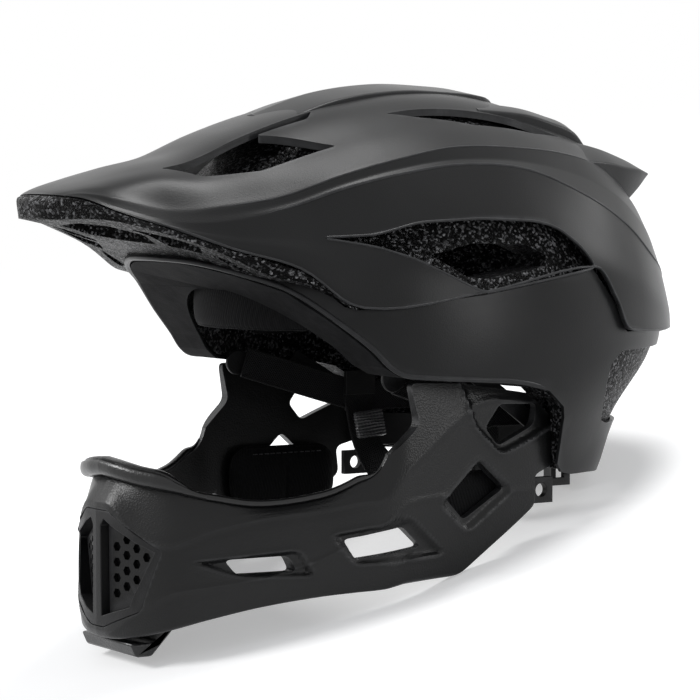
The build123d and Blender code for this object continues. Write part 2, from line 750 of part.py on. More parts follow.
def crown_strip(rise, turn):
    """Curved strip under the crown, turned sideways about the length of the head."""
    reach = strip_reach_share * head_half_length
    drop = strip_drop_share * head_height
    with BuildPart() as strip:
        with BuildSketch(Plane.YZ):
            with BuildLine():
                ThreePointArc(
                    (head_offset - reach, rise - drop), (head_offset, rise),
                    (head_offset + reach, rise - drop),
                )
                Line((head_offset + reach, rise - drop), (head_offset + reach, rise - drop - pad_wall))
                ThreePointArc(
                    (head_offset + reach, rise - drop - pad_wall), (head_offset, rise - pad_wall),
                    (head_offset - reach, rise - drop - pad_wall),
                )
                Line((head_offset - reach, rise - drop - pad_wall), (head_offset - reach, rise - drop))
            make_face()
        extrude(amount=strip_half, both=True)
    return softened(strip.part, pad_edge).rotate(Axis.Y, turn)


strip_reach_share = 0.54
strip_drop_share = 0.175
strip_half = 11.0
strip_turn = 36.0
middle_rise = 94.0
side_rise = 86.5
crown_strips = [(side_rise, -strip_turn), (middle_rise, 0), (side_rise, strip_turn)]
crown_pads = Compound(children=[crown_strip(rise, turn) for rise, turn in crown_strips])
crown_pads.label = "crown_pads"

# Temple pad, on the wearer's left: ends and middle of its outer arc as shares of the head room
temple_reach_share = 0.36
temple_end_share = 0.858
temple_middle_share = 0.93
temple_low = 6.0
temple_high = 34.0
with BuildPart() as temple_pad:
    reach = temple_reach_share * head_half_length
    end = temple_end_share * head_half_width
    bulge = temple_middle_share * head_half_width
    with BuildSketch(Plane.XY.offset(temple_low)):
        with BuildLine():
            ThreePointArc((end, -reach), (bulge, head_offset), (end, reach))
            Line((end, reach), (end - pad_wall, reach))
            inner = end - pad_wall
            ThreePointArc((inner, reach), (bulge - pad_wall, head_offset), (inner, -reach))
            Line((inner, -reach), (end, -reach))
        make_face()
    extrude(amount=temple_high - temple_low)
    fillet(temple_pad.edges(), pad_edge)
jaw_pad = softened(box_between(jaw_pad_shares), pad_edge)

# Straps: places along the wearer's left as shares of half_width, rear_reach and crown_height,
# each with the direction its flat side faces
strap_width = 15.0
strap_wall = 1.5
strap_front_shares = [(0.637, -0.282, -0.065), (0.538, 0.148, -0.218)]
strap_rear_shares = [(0.541, 0.38, -0.21), (0.538, 0.085, -0.21)]
chin_strap_shares = [
    (0.518, 0.12, -0.169),
    (0.513, 0.127, -0.242),
    (0.476, 0.148, -0.403),
    (0.317, 0.169, -0.54),
    (0.212, 0.173, -0.589),
]
chin_strap_facing = [(1, 0, 0), (1, 0, 0.1), (1, 0, 0.5), (0.7, 0, 0.8), (0.4, 0, 1)]
strap_pad_shares = [(-0.462, 0.141, -0.266), (-0.438, 0.148, -0.371)]
strap_pad_width = 17.0
strap_pad_wall = 4.6


def ribbon(shares, facings, width, wall):
    """Flat strap through the given places."""
    path = [Vector(x * half_width, y * rear_reach, z * crown_height) for x, y, z in shares]
    sections = []
    for number, place in enumerate(path):
        along = path[min(number + 1, len(path) - 1)] - path[max(number - 1, 0)]
        across = along.cross(Vector(*facings[number])).normalized()
        with BuildSketch(Plane(origin=place, x_dir=across, z_dir=along)) as section:
            Rectangle(width, wall)
        sections.append(section.sketch)
    with BuildPart() as strap:
        loft(sections, ruled=True)
    return strap.part


sideways = [(1, 0, 0), (1, 0, 0)]
with BuildPart() as side_strap:
    add(ribbon(strap_front_shares, sideways, strap_width, strap_wall))
    add(ribbon(strap_rear_shares, sideways, strap_width, strap_wall))
chin_strap = ribbon(chin_strap_shares, chin_strap_facing, strap_width, strap_wall)
pleated_strap_pad = softened(
    ribbon(strap_pad_shares, [(1, 0, 0.2), (1, 0, 0.2)], strap_pad_width, strap_pad_wall), strap_wall
)
pleated_strap_pad.label = "pleated_strap_pad"
divider_shares = [(0.484, 0.063, -0.202), (0.505, 0.183, -0.105)]
strap_divider = softened(box_between(divider_shares), part_gap)
socket_shares = [(0.004, 0.092, -0.645), (0.204, 0.254, -0.589)]
clip_shares = [(-0.204, 0.106, -0.641), (-0.004, 0.239, -0.593)]
socket_edge = 1.5
buckle_socket = softened(box_between(socket_shares), socket_edge)
buckle_socket.label = "buckle_socket"
buckle_clip = softened(box_between(clip_shares), socket_edge)
buckle_clip.label = "buckle_clip"

# Round anchors that hold the side straps against the foam
anchor_radius = 6.0
anchor_wall = 1.8
anchor_places_shares = [(0.6565, -0.303, -0.065), (0.5605, 0.408, -0.21)]
anchors = []
for x, y, z in anchor_places_shares:
    with BuildPart() as anchor:
        with Locations(Location((x * half_width, y * rear_reach, z * crown_height), (0, 90, 0))):
            Cylinder(anchor_radius, anchor_wall)
    anchors += pair(anchor.part)
strap_anchors = Compound(children=anchors)
strap_anchors.label = "strap_anchors"

# Fit system at the nape: cradle round the back of the head, its bands, and the dial
cradle_end_share = 0.882
cradle_end_y = 28.0
cradle_reach = 82.0
cradle_wall = 2.5
cradle_low = -52.0
cradle_high = -36.0
lobe_low = -64.0
lobe_boxes_shares = [(0.212, 0.282, -0.565), (0.385, 0.704, -0.323)]
cradle_arc = (cradle_end_share * head_half_width, cradle_end_y, cradle_reach, cradle_wall)
with BuildPart() as fit_cradle:
    add(arc_band(*cradle_arc, cradle_low, cradle_high))
    with BuildPart(mode=Mode.PRIVATE) as lobes:
        add(arc_band(*cradle_arc, lobe_low, cradle_high))
        add(pair(box_between(lobe_boxes_shares)), mode=Mode.INTERSECT)
    add(lobes.part)
fit_cradle.part.label = "fit_cradle"
fit_band_shares = [(0.752, -0.035, -0.056), (0.682, 0.232, -0.25)]
fit_band_width = 8.0
fit_band = ribbon(fit_band_shares, sideways, fit_band_width, strap_wall)
dial_housing_shares = [(-0.173, 0.582, -0.468), (0.173, 0.645, -0.298)]
dial_edge = 1.2
dial_housing = softened(box_between(dial_housing_shares), dial_edge)
dial_housing.label = "dial_housing"
dial_radius = 13.0
dial_wall = 8.0
dial_place_shares = [(0, 0.676, -0.383)]
grip_count = 16
grip_radius = 1.3
with BuildPart() as fit_dial:
    x, y, z = dial_place_shares[0]
    with Locations(Location((x, y * rear_reach, z * crown_height), (90, 0, 0))):
        Cylinder(dial_radius, dial_wall)
        with PolarLocations(dial_radius, grip_count):
            Cylinder(grip_radius, overrun, mode=Mode.SUBTRACT)
fit_dial.part.label = "fit_dial"

pieces = [upper_shell.part, lower_shell.part, upper_foam.part, lower_foam.part, chin_guard.part]
pieces += [mouth_vent_frame.part, mouth_vent_screen_left, mouth_vent_screen_right, lip_bumper]
pieces += [jaw_edge_trim, chin_scoop.part, brow_pad, crown_pads, pleated_strap_pad, buckle_socket]
pieces += [buckle_clip, strap_anchors, fit_cradle.part, dial_housing, fit_dial.part]
pairs = {
    "latch_tongue": latch_tongue.part,
    "latch_housing": latch_housing.part,
    "release_tab": release_tab.part,
    "temple_pad": temple_pad.part,
    "jaw_pad": jaw_pad,
    "side_strap": side_strap.part,
    "chin_strap": chin_strap,
    "strap_divider": strap_divider,
    "fit_band": fit_band,
}
for name, solid in pairs.items():
    for side, piece in zip(["left", "right"], pair(solid)):
        piece.label = name + "_" + side
        pieces.append(piece)

# Turn everything back until the jaw heel and the nape rim stand on one flat surface
heel_y_share = -0.127
heel_z_share = -0.782
nape_y_share = 0.704
nape_z_share = -0.484
heel = (heel_y_share * chin_reach, heel_z_share * chin_drop)
nape = (nape_y_share * rear_reach, nape_z_share * crown_height)
tilt = degrees(atan2(nape[1] - heel[1], nape[0] - heel[0]))
turned = []
for piece in pieces:
    standing = piece.moved(Location((0, 0, 0), (-tilt, 0, 0)))
    standing.label = piece.label
    turned.append(standing)
boxes = [piece.bounding_box() for piece in turned]
low_y = min(box.min.Y for box in boxes)
high_y = max(box.max.Y for box in boxes)
floor = min(box.min.Z for box in boxes)
for piece in turned:
    placed = piece.moved(Location((0, -(low_y + high_y) / 2, -floor)))
    placed.label = piece.label
    export_step(placed, f"parts/{placed.label}.step")
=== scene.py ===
import json
import math

import bmesh
import bpy
from mathutils import Matrix, Vector


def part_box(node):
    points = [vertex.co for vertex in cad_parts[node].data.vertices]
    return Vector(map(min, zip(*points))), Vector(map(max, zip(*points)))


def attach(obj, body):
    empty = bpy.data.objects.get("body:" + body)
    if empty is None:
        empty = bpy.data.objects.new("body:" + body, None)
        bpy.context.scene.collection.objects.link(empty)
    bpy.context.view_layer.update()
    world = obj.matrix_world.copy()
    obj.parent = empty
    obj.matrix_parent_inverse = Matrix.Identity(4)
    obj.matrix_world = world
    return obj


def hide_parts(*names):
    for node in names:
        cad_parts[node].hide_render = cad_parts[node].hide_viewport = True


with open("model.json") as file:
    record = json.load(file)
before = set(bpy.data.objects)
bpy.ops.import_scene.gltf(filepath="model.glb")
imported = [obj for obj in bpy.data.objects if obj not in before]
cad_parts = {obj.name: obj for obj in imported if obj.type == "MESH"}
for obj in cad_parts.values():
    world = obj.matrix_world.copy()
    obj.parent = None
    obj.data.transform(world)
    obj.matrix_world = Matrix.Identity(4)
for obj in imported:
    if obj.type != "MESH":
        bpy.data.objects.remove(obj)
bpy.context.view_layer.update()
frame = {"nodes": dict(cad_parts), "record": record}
print("frame loaded")

# The lines of the helmet are drawn upright, in millimetres about the centre of the head, and
# stance turns them to the way the helmet stands.
stanceTilt = math.radians(17.111)
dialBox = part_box("fit_dial")
dialMiddle = (Vector(dialBox[0]) + Vector(dialBox[1])) / 2
dialUpright = Vector((0, 96, -47.53)) / 1000
stanceTurn = Matrix.Rotation(-stanceTilt, 4, "X")
stance = Matrix.Translation(dialMiddle - stanceTurn @ dialUpright) @ stanceTurn


def place(x, y, z):
    return stance @ (Vector((x, y, z)) / 1000)


def meshFrom(name, points, faces, edges=()):
    mesh = bpy.data.meshes.new(name)
    mesh.from_pydata(points, list(edges), faces)
    return mesh


def finishShape(shape, mesh, smooth=True, outwards=True):
    # a bmesh written to a mesh and freed, its faces turned outwards and shaded smooth
    if outwards:
        bmesh.ops.recalc_face_normals(shape, faces=shape.faces)
    if smooth:
        for face in shape.faces:
            face.smooth = True
    shape.to_mesh(mesh)
    shape.free()
    return mesh


def addObject(name, data):
    thing = bpy.data.objects.new(name, data)
    bpy.context.scene.collection.objects.link(thing)
    return thing


def appliedMesh(name, thing, spare):
    # the mesh of an object with its modifiers applied; the spare objects are removed
    bpy.context.view_layer.update()
    graph = bpy.context.evaluated_depsgraph_get()
    mesh = bpy.data.meshes.new_from_object(thing.evaluated_get(graph))
    for extra in spare:
        bpy.data.objects.remove(extra)
    mesh.name = name
    return mesh


def around(k, count):
    # cosine and sine of the k-th of count even steps round a circle
    turn = 2 * math.pi * k / count
    return math.cos(turn), math.sin(turn)


def squared(value, power):
    # a cosine or sine drawn out towards the corners of a box
    return math.copysign(abs(value) ** power, value)


def bellAt(distance, width):
    # 1 at no distance, falling off on both sides
    return math.exp(-(distance / width) ** 2)


flip = Vector((-1, 1, 1))


def mirrored(rows):
    return [[p * flip for p in row] for row in rows]


def shapeOf(mesh):
    shape = bmesh.new()
    shape.from_mesh(mesh)
    return shape


def ringFaces(rows, size, start=0):
    # quads between neighbouring closed rings of one size
    faces = []
    for r in range(rows - 1):
        for c in range(size):
            a, b, d = start + r * size, start + (r + 1) * size, (c + 1) % size
            faces.append((a + c, a + d, b + d, b + c))
    return faces


# Shader helpers
def newGroup(name, inputs, outputs):
    # a group with a vector and floats going in, and floats coming out
    group = bpy.data.node_groups.new(name, "ShaderNodeTree")
    group.interface.new_socket("Vector", in_out="INPUT", socket_type="NodeSocketVector")
    for socketName, value in inputs.items():
        socket = group.interface.new_socket(socketName, in_out="INPUT", socket_type="NodeSocketFloat")
        socket.default_value = value
    for socketName in outputs:
        group.interface.new_socket(socketName, in_out="OUTPUT", socket_type="NodeSocketFloat")
    inside = group.nodes.new("NodeGroupInput").outputs
    return group, inside, group.nodes.new("NodeGroupOutput").inputs


def addNode(tree, kind, values=None, links=None, **settings):
    node = tree.nodes.new(kind)
    for key, value in settings.items():
        setattr(node, key, value)
    for key, value in (values or {}).items():
        node.inputs[key].default_value = value
    for key, source in (links or {}).items():
        tree.links.new(source, node.inputs[key])
    return node


def mathOf(tree, operation, one, two=None):
    # a calculation with sockets or numbers
    node = addNode(tree, "ShaderNodeMath", operation=operation)
    for index, value in ((0, one), (1, two)):
        if isinstance(value, float):
            node.inputs[index].default_value = value
        elif value is not None:
            tree.links.new(value, node.inputs[index])
    return node.outputs[0]


def cellsOf(tree, where, size, randomness, feature):
    return addNode(
        tree, "ShaderNodeTexVoronoi", {"Randomness": randomness}, {"Vector": where, "Scale": size},
        feature=feature,
    )


def noiseOf(tree, where, scale, detail):
    return addNode(tree, "ShaderNodeTexNoise", {"Scale": scale, "Detail": detail}, {"Vector": where})


def rangeOf(tree, source, low, high, fromLow=0.0, fromHigh=1.0):
    node = addNode(
        tree, "ShaderNodeMapRange",
        {"From Min": fromLow, "From Max": fromHigh, "To Min": low, "To Max": high}, {"Value": source},
    )
    return node.outputs["Result"]


# A full turn for the sine waves of the weave
fullTurn = 6.28318


def grainGroup():
    # fine moulded grain: a height and a mottled mask
    sizes = {"Size": 900.0, "Mottle": 22.0}
    group, inside, outside = newGroup("mouldedGrain", sizes, ("Height", "Mask"))
    cells = cellsOf(group, inside["Vector"], inside["Size"], 1.0, "F1")
    cloud = addNode(
        group, "ShaderNodeTexNoise", {"Detail": 3.0, "Roughness": 0.55},
        {"Vector": inside["Vector"], "Scale": inside["Mottle"]},
    )
    group.links.new(cells.outputs["Distance"], outside["Height"])
    group.links.new(cloud.outputs["Fac"], outside["Mask"])
    return group


def beadGroup():
    # expanded foam: round beads pressed together; its crease mask carries painted shade in the creases
    # between them
    group, inside, outside = newGroup("foamBeads", {"Size": 330.0}, ("Height", "CreaseShade", "Tint"))
    warp = noiseOf(group, inside["Vector"], 160.0, 2.0)
    shift = addNode(
        group, "ShaderNodeVectorMath", {1: (0.0022, 0.0022, 0.0022)},
        {0: warp.outputs["Color"]}, operation="MULTIPLY",
    )
    moved = addNode(
        group, "ShaderNodeVectorMath", None,
        {0: inside["Vector"], 1: shift.outputs["Vector"]}, operation="ADD",
    ).outputs["Vector"]
    beads = cellsOf(group, moved, inside["Size"], 0.9, "DISTANCE_TO_EDGE")
    tint = cellsOf(group, moved, inside["Size"], 0.9, "F1")
    rounding = addNode(
        group, "ShaderNodeMapRange", {"From Min": 0.0, "From Max": 0.28},
        {"Value": beads.outputs["Distance"]}, interpolation_type="SMOOTHERSTEP",
    ).outputs["Result"]
    crumble = noiseOf(group, inside["Vector"], 1400.0, 2.0)
    rough = mathOf(group, "MULTIPLY", crumble.outputs["Fac"], 0.35)
    group.links.new(mathOf(group, "ADD", rounding, rough), outside["Height"])
    group.links.new(rounding, outside["CreaseShade"])
    group.links.new(tint.outputs["Color"], outside["Tint"])
    return group


def weaveGroup():
    # webbing or cloth: warp and weft as crossed waves
    group, inside, outside = newGroup("clothWeave", {"Across": 30.0, "Along": 60.0}, ("Height", "Mask"))
    parts = addNode(group, "ShaderNodeSeparateXYZ", None, {0: inside["Vector"]})
    waves = []
    for axis, name in ((0, "Across"), (1, "Along")):
        scaled = mathOf(group, "MULTIPLY", parts.outputs[axis], inside[name])
        waves.append(mathOf(group, "SINE", mathOf(group, "MULTIPLY", scaled, fullTurn)))
    height = rangeOf(group, mathOf(group, "MULTIPLY", *waves), 0.0, 1.0, -1.0, 1.0)
    fuzz = noiseOf(group, inside["Vector"], 90.0, 3.0)
    group.links.new(height, outside["Height"])
    group.links.new(fuzz.outputs["Fac"], outside["Mask"])
    return group


def wearAndHighlightGroup():
    # where sharp convex edges turn pale: partly rubbed wear, partly a painted highlight along the edges
    group, inside, outside = newGroup("edgeWearAndHighlight", {"Low": 0.515, "High": 0.57}, ("Mask",))
    shape = addNode(group, "ShaderNodeNewGeometry")
    scratch = noiseOf(group, inside["Vector"], 160.0, 4.0)
    edge = addNode(
        group, "ShaderNodeMapRange", None,
        {"Value": shape.outputs["Pointiness"], "From Min": inside["Low"], "From Max": inside["High"]},
    )
    wornAndLit = mathOf(group, "MULTIPLY", edge.outputs["Result"], scratch.outputs["Fac"])
    group.links.new(wornAndLit, outside["Mask"])
    return group


groups = {"grain": grainGroup(), "beads": beadGroup(), "weave": weaveGroup(), "wearAndHighlight": wearAndHighlightGroup()}


def startMaterial(name, roughness, specular):
    material = bpy.data.materials.new(name)
    material.use_nodes = True
    shader = material.node_tree.nodes["Principled BSDF"]
    shader.inputs["Roughness"].default_value = roughness
    shader.inputs["Specular IOR Level"].default_value = specular
    return material, material.node_tree, shader


def useGroup(tree, key, values, links):
    return addNode(tree, "ShaderNodeGroup", values, links, node_tree=groups[key])


def mixColour(tree, factor, dark, light):
    # colours or sockets mixed by a factor; a Mix node has them at inputs 6 and 7 and output 2
    node = addNode(tree, "ShaderNodeMix", None, {"Factor": factor}, data_type="RGBA")
    for index, value in ((6, dark), (7, light)):
        if isinstance(value, tuple):
            node.inputs[index].default_value = (*value, 1.0)
        else:
            tree.links.new(value, node.inputs[index])
    return node.outputs[2]


def bumpOf(tree, shader, looks, height):
    bump = addNode(
        tree, "ShaderNodeBump", {"Strength": looks["bump"], "Distance": looks["bumpDepth"]},
        {"Height": height},
    )
    tree.links.new(bump.outputs["Normal"], shader.inputs["Normal"])


def mouldedMaterial(name, looks):
    # moulded or painted plastic with fine grain, mottled sheen and pale edges, which are partly rubbed
    # wear and partly a painted highlight
    rough = looks["roughness"]
    material, tree, shader = startMaterial(name, rough, looks["specular"])
    where = addNode(tree, "ShaderNodeTexCoord").outputs["Object"]
    sizes = {"Size": looks["grainSize"], "Mottle": looks["mottleSize"]}
    grain = useGroup(tree, "grain", sizes, {"Vector": where}).outputs
    wearAndHighlight = useGroup(tree, "wearAndHighlight", None, {"Vector": where}).outputs
    base = mixColour(tree, grain["Mask"], looks["dark"], looks["light"])
    # the edge colour on sharp edges is partly wear and partly a painted highlight
    tree.links.new(mixColour(tree, wearAndHighlight["Mask"], base, looks["edge"]), shader.inputs["Base Color"])
    sheen = rangeOf(tree, grain["Mask"], rough - 0.04, rough + 0.06, 0.3, 0.7)
    tree.links.new(sheen, shader.inputs["Roughness"])
    bumpOf(tree, shader, looks, grain["Height"])
    return material


def foamMaterial(name, looks):
    # cut foam: dark beads with painted shade in the creases between them, and a painted glint as a pale
    # fleck here and there
    rough = looks["roughness"]
    material, tree, shader = startMaterial(name, rough, looks["specular"])
    where = addNode(tree, "ShaderNodeTexCoord").outputs["Object"]
    beads = useGroup(tree, "beads", {"Size": looks["beadSize"]}, {"Vector": where}).outputs
    body = mixColour(tree, beads["Tint"], looks["dark"], looks["light"])
    # painted shade: the creases between the beads darkened
    creaseShaded = mixColour(tree, beads["CreaseShade"], looks["crease"], body)
    # painted highlight: pale glints on some of the beads
    paintedGlint = rangeOf(tree, beads["Tint"], 0.0, 1.0, looks["paintedGlintFrom"], looks["paintedGlintFull"])
    tree.links.new(mixColour(tree, paintedGlint, creaseShaded, looks["paintedGlint"]), shader.inputs["Base Color"])
    sheen = rangeOf(tree, beads["Tint"], rough + 0.12, rough - 0.12)
    tree.links.new(sheen, shader.inputs["Roughness"])
    bumpOf(tree, shader, looks, beads["Height"])
    return material


def clothMaterial(name, looks):
    # woven cloth or webbing, with painted shade low between its threads and painted light on their
    # raised tops, and a little fuzz
    material, tree, shader = startMaterial(name, looks["roughness"], looks["specular"])
    where = addNode(tree, "ShaderNodeTexCoord").outputs[looks["space"]]
    counts = {"Across": looks["across"], "Along": looks["along"]}
    weave = useGroup(tree, "weave", counts, {"Vector": where}).outputs
    # painted shade and light: darker low between the threads, lighter on their tops
    thread = mixColour(tree, weave["Height"], looks["dark"], looks["light"])
    fuzz = rangeOf(tree, weave["Mask"], 0.0, 0.6, 0.35, 0.75)
    tree.links.new(mixColour(tree, fuzz, thread, looks["light"]), shader.inputs["Base Color"])
    shader.inputs["Sheen Weight"].default_value = looks["sheen"]
    shader.inputs["Sheen Roughness"].default_value = 0.5
    bumpOf(tree, shader, looks, weave["Height"])
    return material


# In each of these looks the edge colour, laid on sharp edges, is partly rubbed wear and partly a painted
# highlight along the edges
shellLooks = {
    "dark": (0.0085, 0.0087, 0.009), "light": (0.012, 0.0122, 0.0127), "edge": (0.07, 0.071, 0.074),
    "roughness": 0.33, "specular": 0.16, "grainSize": 1500.0, "mottleSize": 14.0,
    "bump": 0.12, "bumpDepth": 0.0002,
}
jawLooks = {
    "dark": (0.005, 0.0051, 0.0053), "light": (0.009, 0.0091, 0.0095), "edge": (0.08, 0.081, 0.084),
    "roughness": 0.32, "specular": 0.24, "grainSize": 1250.0, "mottleSize": 30.0,
    "bump": 0.3, "bumpDepth": 0.0003,
}
trimLooks = {
    "dark": (0.003, 0.003, 0.0032), "light": (0.006, 0.006, 0.0064), "edge": (0.03, 0.03, 0.032),
    "roughness": 0.45, "specular": 0.22, "grainSize": 1100.0, "mottleSize": 40.0,
    "bump": 0.25, "bumpDepth": 0.0003,
}
rubberLooks = {
    "dark": (0.003, 0.003, 0.0032), "light": (0.005, 0.005, 0.0053), "edge": (0.02, 0.02, 0.021),
    "roughness": 0.3, "specular": 0.4, "grainSize": 900.0, "mottleSize": 60.0,
    "bump": 0.3, "bumpDepth": 0.0003,
}
# Near-black, barely reflective finish of the rim cover and the mouth sheets: painted shade
shadeCoverLooks = {
    "dark": (0.002, 0.002, 0.0022), "light": (0.004, 0.004, 0.0043), "edge": (0.02, 0.02, 0.021),
    "roughness": 0.75, "specular": 0.05, "grainSize": 1000.0, "mottleSize": 50.0,
    "bump": 0.3, "bumpDepth": 0.0003,
}
# The foam's crease colour is painted shade between the beads
foamLooks = {
    "dark": (0.002, 0.002, 0.0022), "light": (0.012, 0.012, 0.0128), "crease": (0.001, 0.001, 0.001),
    # the pale fleck colour is a painted glint on some beads
    "paintedGlint": (0.38, 0.38, 0.39), "paintedGlintFrom": 0.62, "paintedGlintFull": 0.98, "roughness": 0.34,
    "specular": 0.06, "beadSize": 1000.0, "bump": 1.0, "bumpDepth": 0.0012,
}
# For the cloths below, dark is the painted shade low between the threads and light is the painted light
# on their raised tops
padLooks = {
    "dark": (0.003, 0.003, 0.0033), "light": (0.009, 0.009, 0.0095), "roughness": 0.8, "specular": 0.08,
    "sheen": 0.02, "space": "Object", "across": 620.0, "along": 620.0,
    "bump": 0.5, "bumpDepth": 0.0006,
}
webbingLooks = {
    "dark": (0.004, 0.004, 0.0044), "light": (0.014, 0.014, 0.015), "roughness": 0.6, "specular": 0.15,
    "sheen": 0.06, "space": "UV", "across": 12.0, "along": 700.0,
    "bump": 0.8, "bumpDepth": 0.0006,
}
sleeveLooks = {
    "dark": (0.09, 0.09, 0.092), "light": (0.15, 0.15, 0.153), "roughness": 0.26, "specular": 0.6,
    "sheen": 0.1, "space": "Object", "across": 520.0, "along": 520.0,
    "bump": 0.35, "bumpDepth": 0.0006,
}
threadLooks = {
    "dark": (0.03, 0.03, 0.032), "light": (0.09, 0.09, 0.093), "roughness": 0.6, "specular": 0.2,
    "sheen": 0.1, "space": "Object", "across": 900.0, "along": 900.0,
    "bump": 0.3, "bumpDepth": 0.0006,
}
finishes = {
    "sleeve": clothMaterial("sleeveCloth", sleeveLooks),
    "thread": clothMaterial("sewingThread", threadLooks),
    "shell": mouldedMaterial("satinShell", shellLooks),
    "jaw": mouldedMaterial("grainedJaw", jawLooks),
    "trim": mouldedMaterial("blackTrim", trimLooks),
    "rubber": mouldedMaterial("softRubber", rubberLooks),
    "shadeCover": mouldedMaterial("matteShadeCover", shadeCoverLooks),
    "foam": foamMaterial("beadFoam", foamLooks),
    "pad": clothMaterial("padCloth", padLooks),
    "webbing": clothMaterial("blackWebbing", webbingLooks),
}
print("materials made")


def bodyOf(node):
    for body, nodes in frame["record"]["behaviour"]["bodies"].items():
        if node in nodes:
            return body
    return "helmet"


def newPiece(name, mesh, finish, nodes, body=None):
    piece = addObject(name, mesh)
    mesh.materials.clear()
    mesh.materials.append(finishes[finish])
    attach(piece, body or bodyOf(nodes[0]))
    if nodes:
        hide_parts(*nodes)
    return piece


# Gaps in metres and angles in degrees
mergeGap, meshGap = 0.00002, 0.00001
bevelAngle, sharpAngle, flatAngle = 40, 32, 0.6
# Least lengths, in millimetres, that a division is made by
tinyGap, tinySpan = 1e-6, 1e-9


def dressedCopy(node, name, finish, edge=0.0):
    # a merged, smoothly shaded copy of a rigid CAD node, with its sharp edges rounded
    mesh = frame["nodes"][node].data.copy()
    mesh.name = name
    shape = shapeOf(mesh)
    bmesh.ops.remove_doubles(shape, verts=shape.verts, dist=mergeGap)
    bmesh.ops.dissolve_limit(
        shape, angle_limit=math.radians(flatAngle), verts=shape.verts, edges=shape.edges
    )
    finishShape(shape, mesh, outwards=False)
    mesh.set_sharp_from_angle(angle=math.radians(sharpAngle))
    piece = newPiece(name, mesh, finish, [node])
    if edge:
        bevel = piece.modifiers.new("rounding", "BEVEL")
        bevel.width = edge
        bevel.segments = 2
        bevel.limit_method = "ANGLE"
        bevel.angle_limit = math.radians(bevelAngle)
        bevel.use_clamp_overlap = True
    return piece


rigidCopies = [
    # node, piece, finish, slot, edge radius
    ("lower_shell", "sideShell", "shell", "shell", 0.0005),
    ("lower_foam", "sideFoam", "foam", "foam", 0.0),
    ("mouth_vent_frame", "mouthFrame", "trim", "trim", 0.0004),
    ("mouth_vent_screen_left", "mouthScreenLeft", "trim", "screen", 0.0),
    ("mouth_vent_screen_right", "mouthScreenRight", "trim", "screen", 0.0),
    ("chin_scoop", "chinScoop", "rubber", "rubber", 0.0015),
    ("buckle_socket", "buckleSocket", "trim", "buckle", 0.0),
    ("buckle_clip", "buckleClip", "trim", "buckle", 0.0),
    ("strap_anchors", "strapAnchors", "trim", "buckle", 0.0004),
    ("fit_cradle", "fitCradle", "trim", "trim", 0.0004),
    ("dial_housing", "dialHousing", "trim", "dial", 0.0),
    ("fit_dial", "fitDial", "trim", "dial", 0.0005),
]
for side in ("left", "right"):
    for node, piece, slotName, edge in (
        ("latch_tongue", "latchTongue", "trim", 0.0003),
        ("latch_housing", "latchHousing", "trim", 0.0005),
        ("release_tab", "releaseTab", "trim", 0.0004),
        ("strap_divider", "strapDivider", "buckle", 0.0),
        ("fit_band", "fitBand", "trim", 0.0003),
    ):
        rigidCopies.append((node + "_" + side, piece + side.capitalize(), "trim", slotName, edge))
for node, piece, finish, slotName, edge in rigidCopies:
    dressedCopy(node, piece, finish, edge=edge)
print("rigid pieces dressed")


# Soft pieces: sweeps along a path, in upright millimetres
def arcPoints(start, middle, end, count):
    # a circular arc through three places, as count + 1 places with the direction of its outside
    start, middle, end = Vector(start), Vector(middle), Vector(end)
    a = middle - start
    b = end - start
    normal = a.cross(b)
    centre = start + (normal.cross(a) * b.length_squared + b.cross(normal) * a.length_squared) / (
        2 * normal.length_squared
    )
    spoke = start - centre
    sweep = spoke.angle(end - centre)
    if (end - centre).cross(spoke).dot(normal) > 0:
        sweep = -sweep
    axis = normal.normalized()
    points = []
    for step in range(count + 1):
        arm = Matrix.Rotation(sweep * step / count, 3, axis) @ spoke
        points.append((centre + arm, arm.normalized()))
    return points


def pathLengths(points):
    lengths = [0.0]
    for one, two in zip(points, points[1:]):
        lengths.append(lengths[-1] + (two - one).length)
    return lengths


def roundedShare(distance, radius):
    # 1 away from an end, falling to 0 along a quarter circle at the end
    if distance >= radius:
        return 1.0
    return math.sqrt(max(0.0, 1 - (1 - distance / radius) ** 2))


def endSpacing(length, radius, count):
    # stations along a length, crowded in its rounded ends
    steps = 8
    near = [radius * (1 - math.cos(math.pi / 2 * k / steps)) for k in range(steps + 1)]
    inside = [radius + (length - 2 * radius) * k / count for k in range(1, count)]
    return near + inside + [length - v for v in reversed(near)]


def sampleAt(places, lengths, distance):
    # the place, the outside and the way ahead at a distance along a row of places
    for k in range(len(places) - 1):
        if distance <= lengths[k + 1] or k == len(places) - 2:
            share = (distance - lengths[k]) / max(lengths[k + 1] - lengths[k], tinySpan)
            spot = places[k][0].lerp(places[k + 1][0], share)
            out = places[k][1].lerp(places[k + 1][1], share).normalized()
            along = (places[k + 1][0] - places[k][0]).normalized()
            return spot, out, along


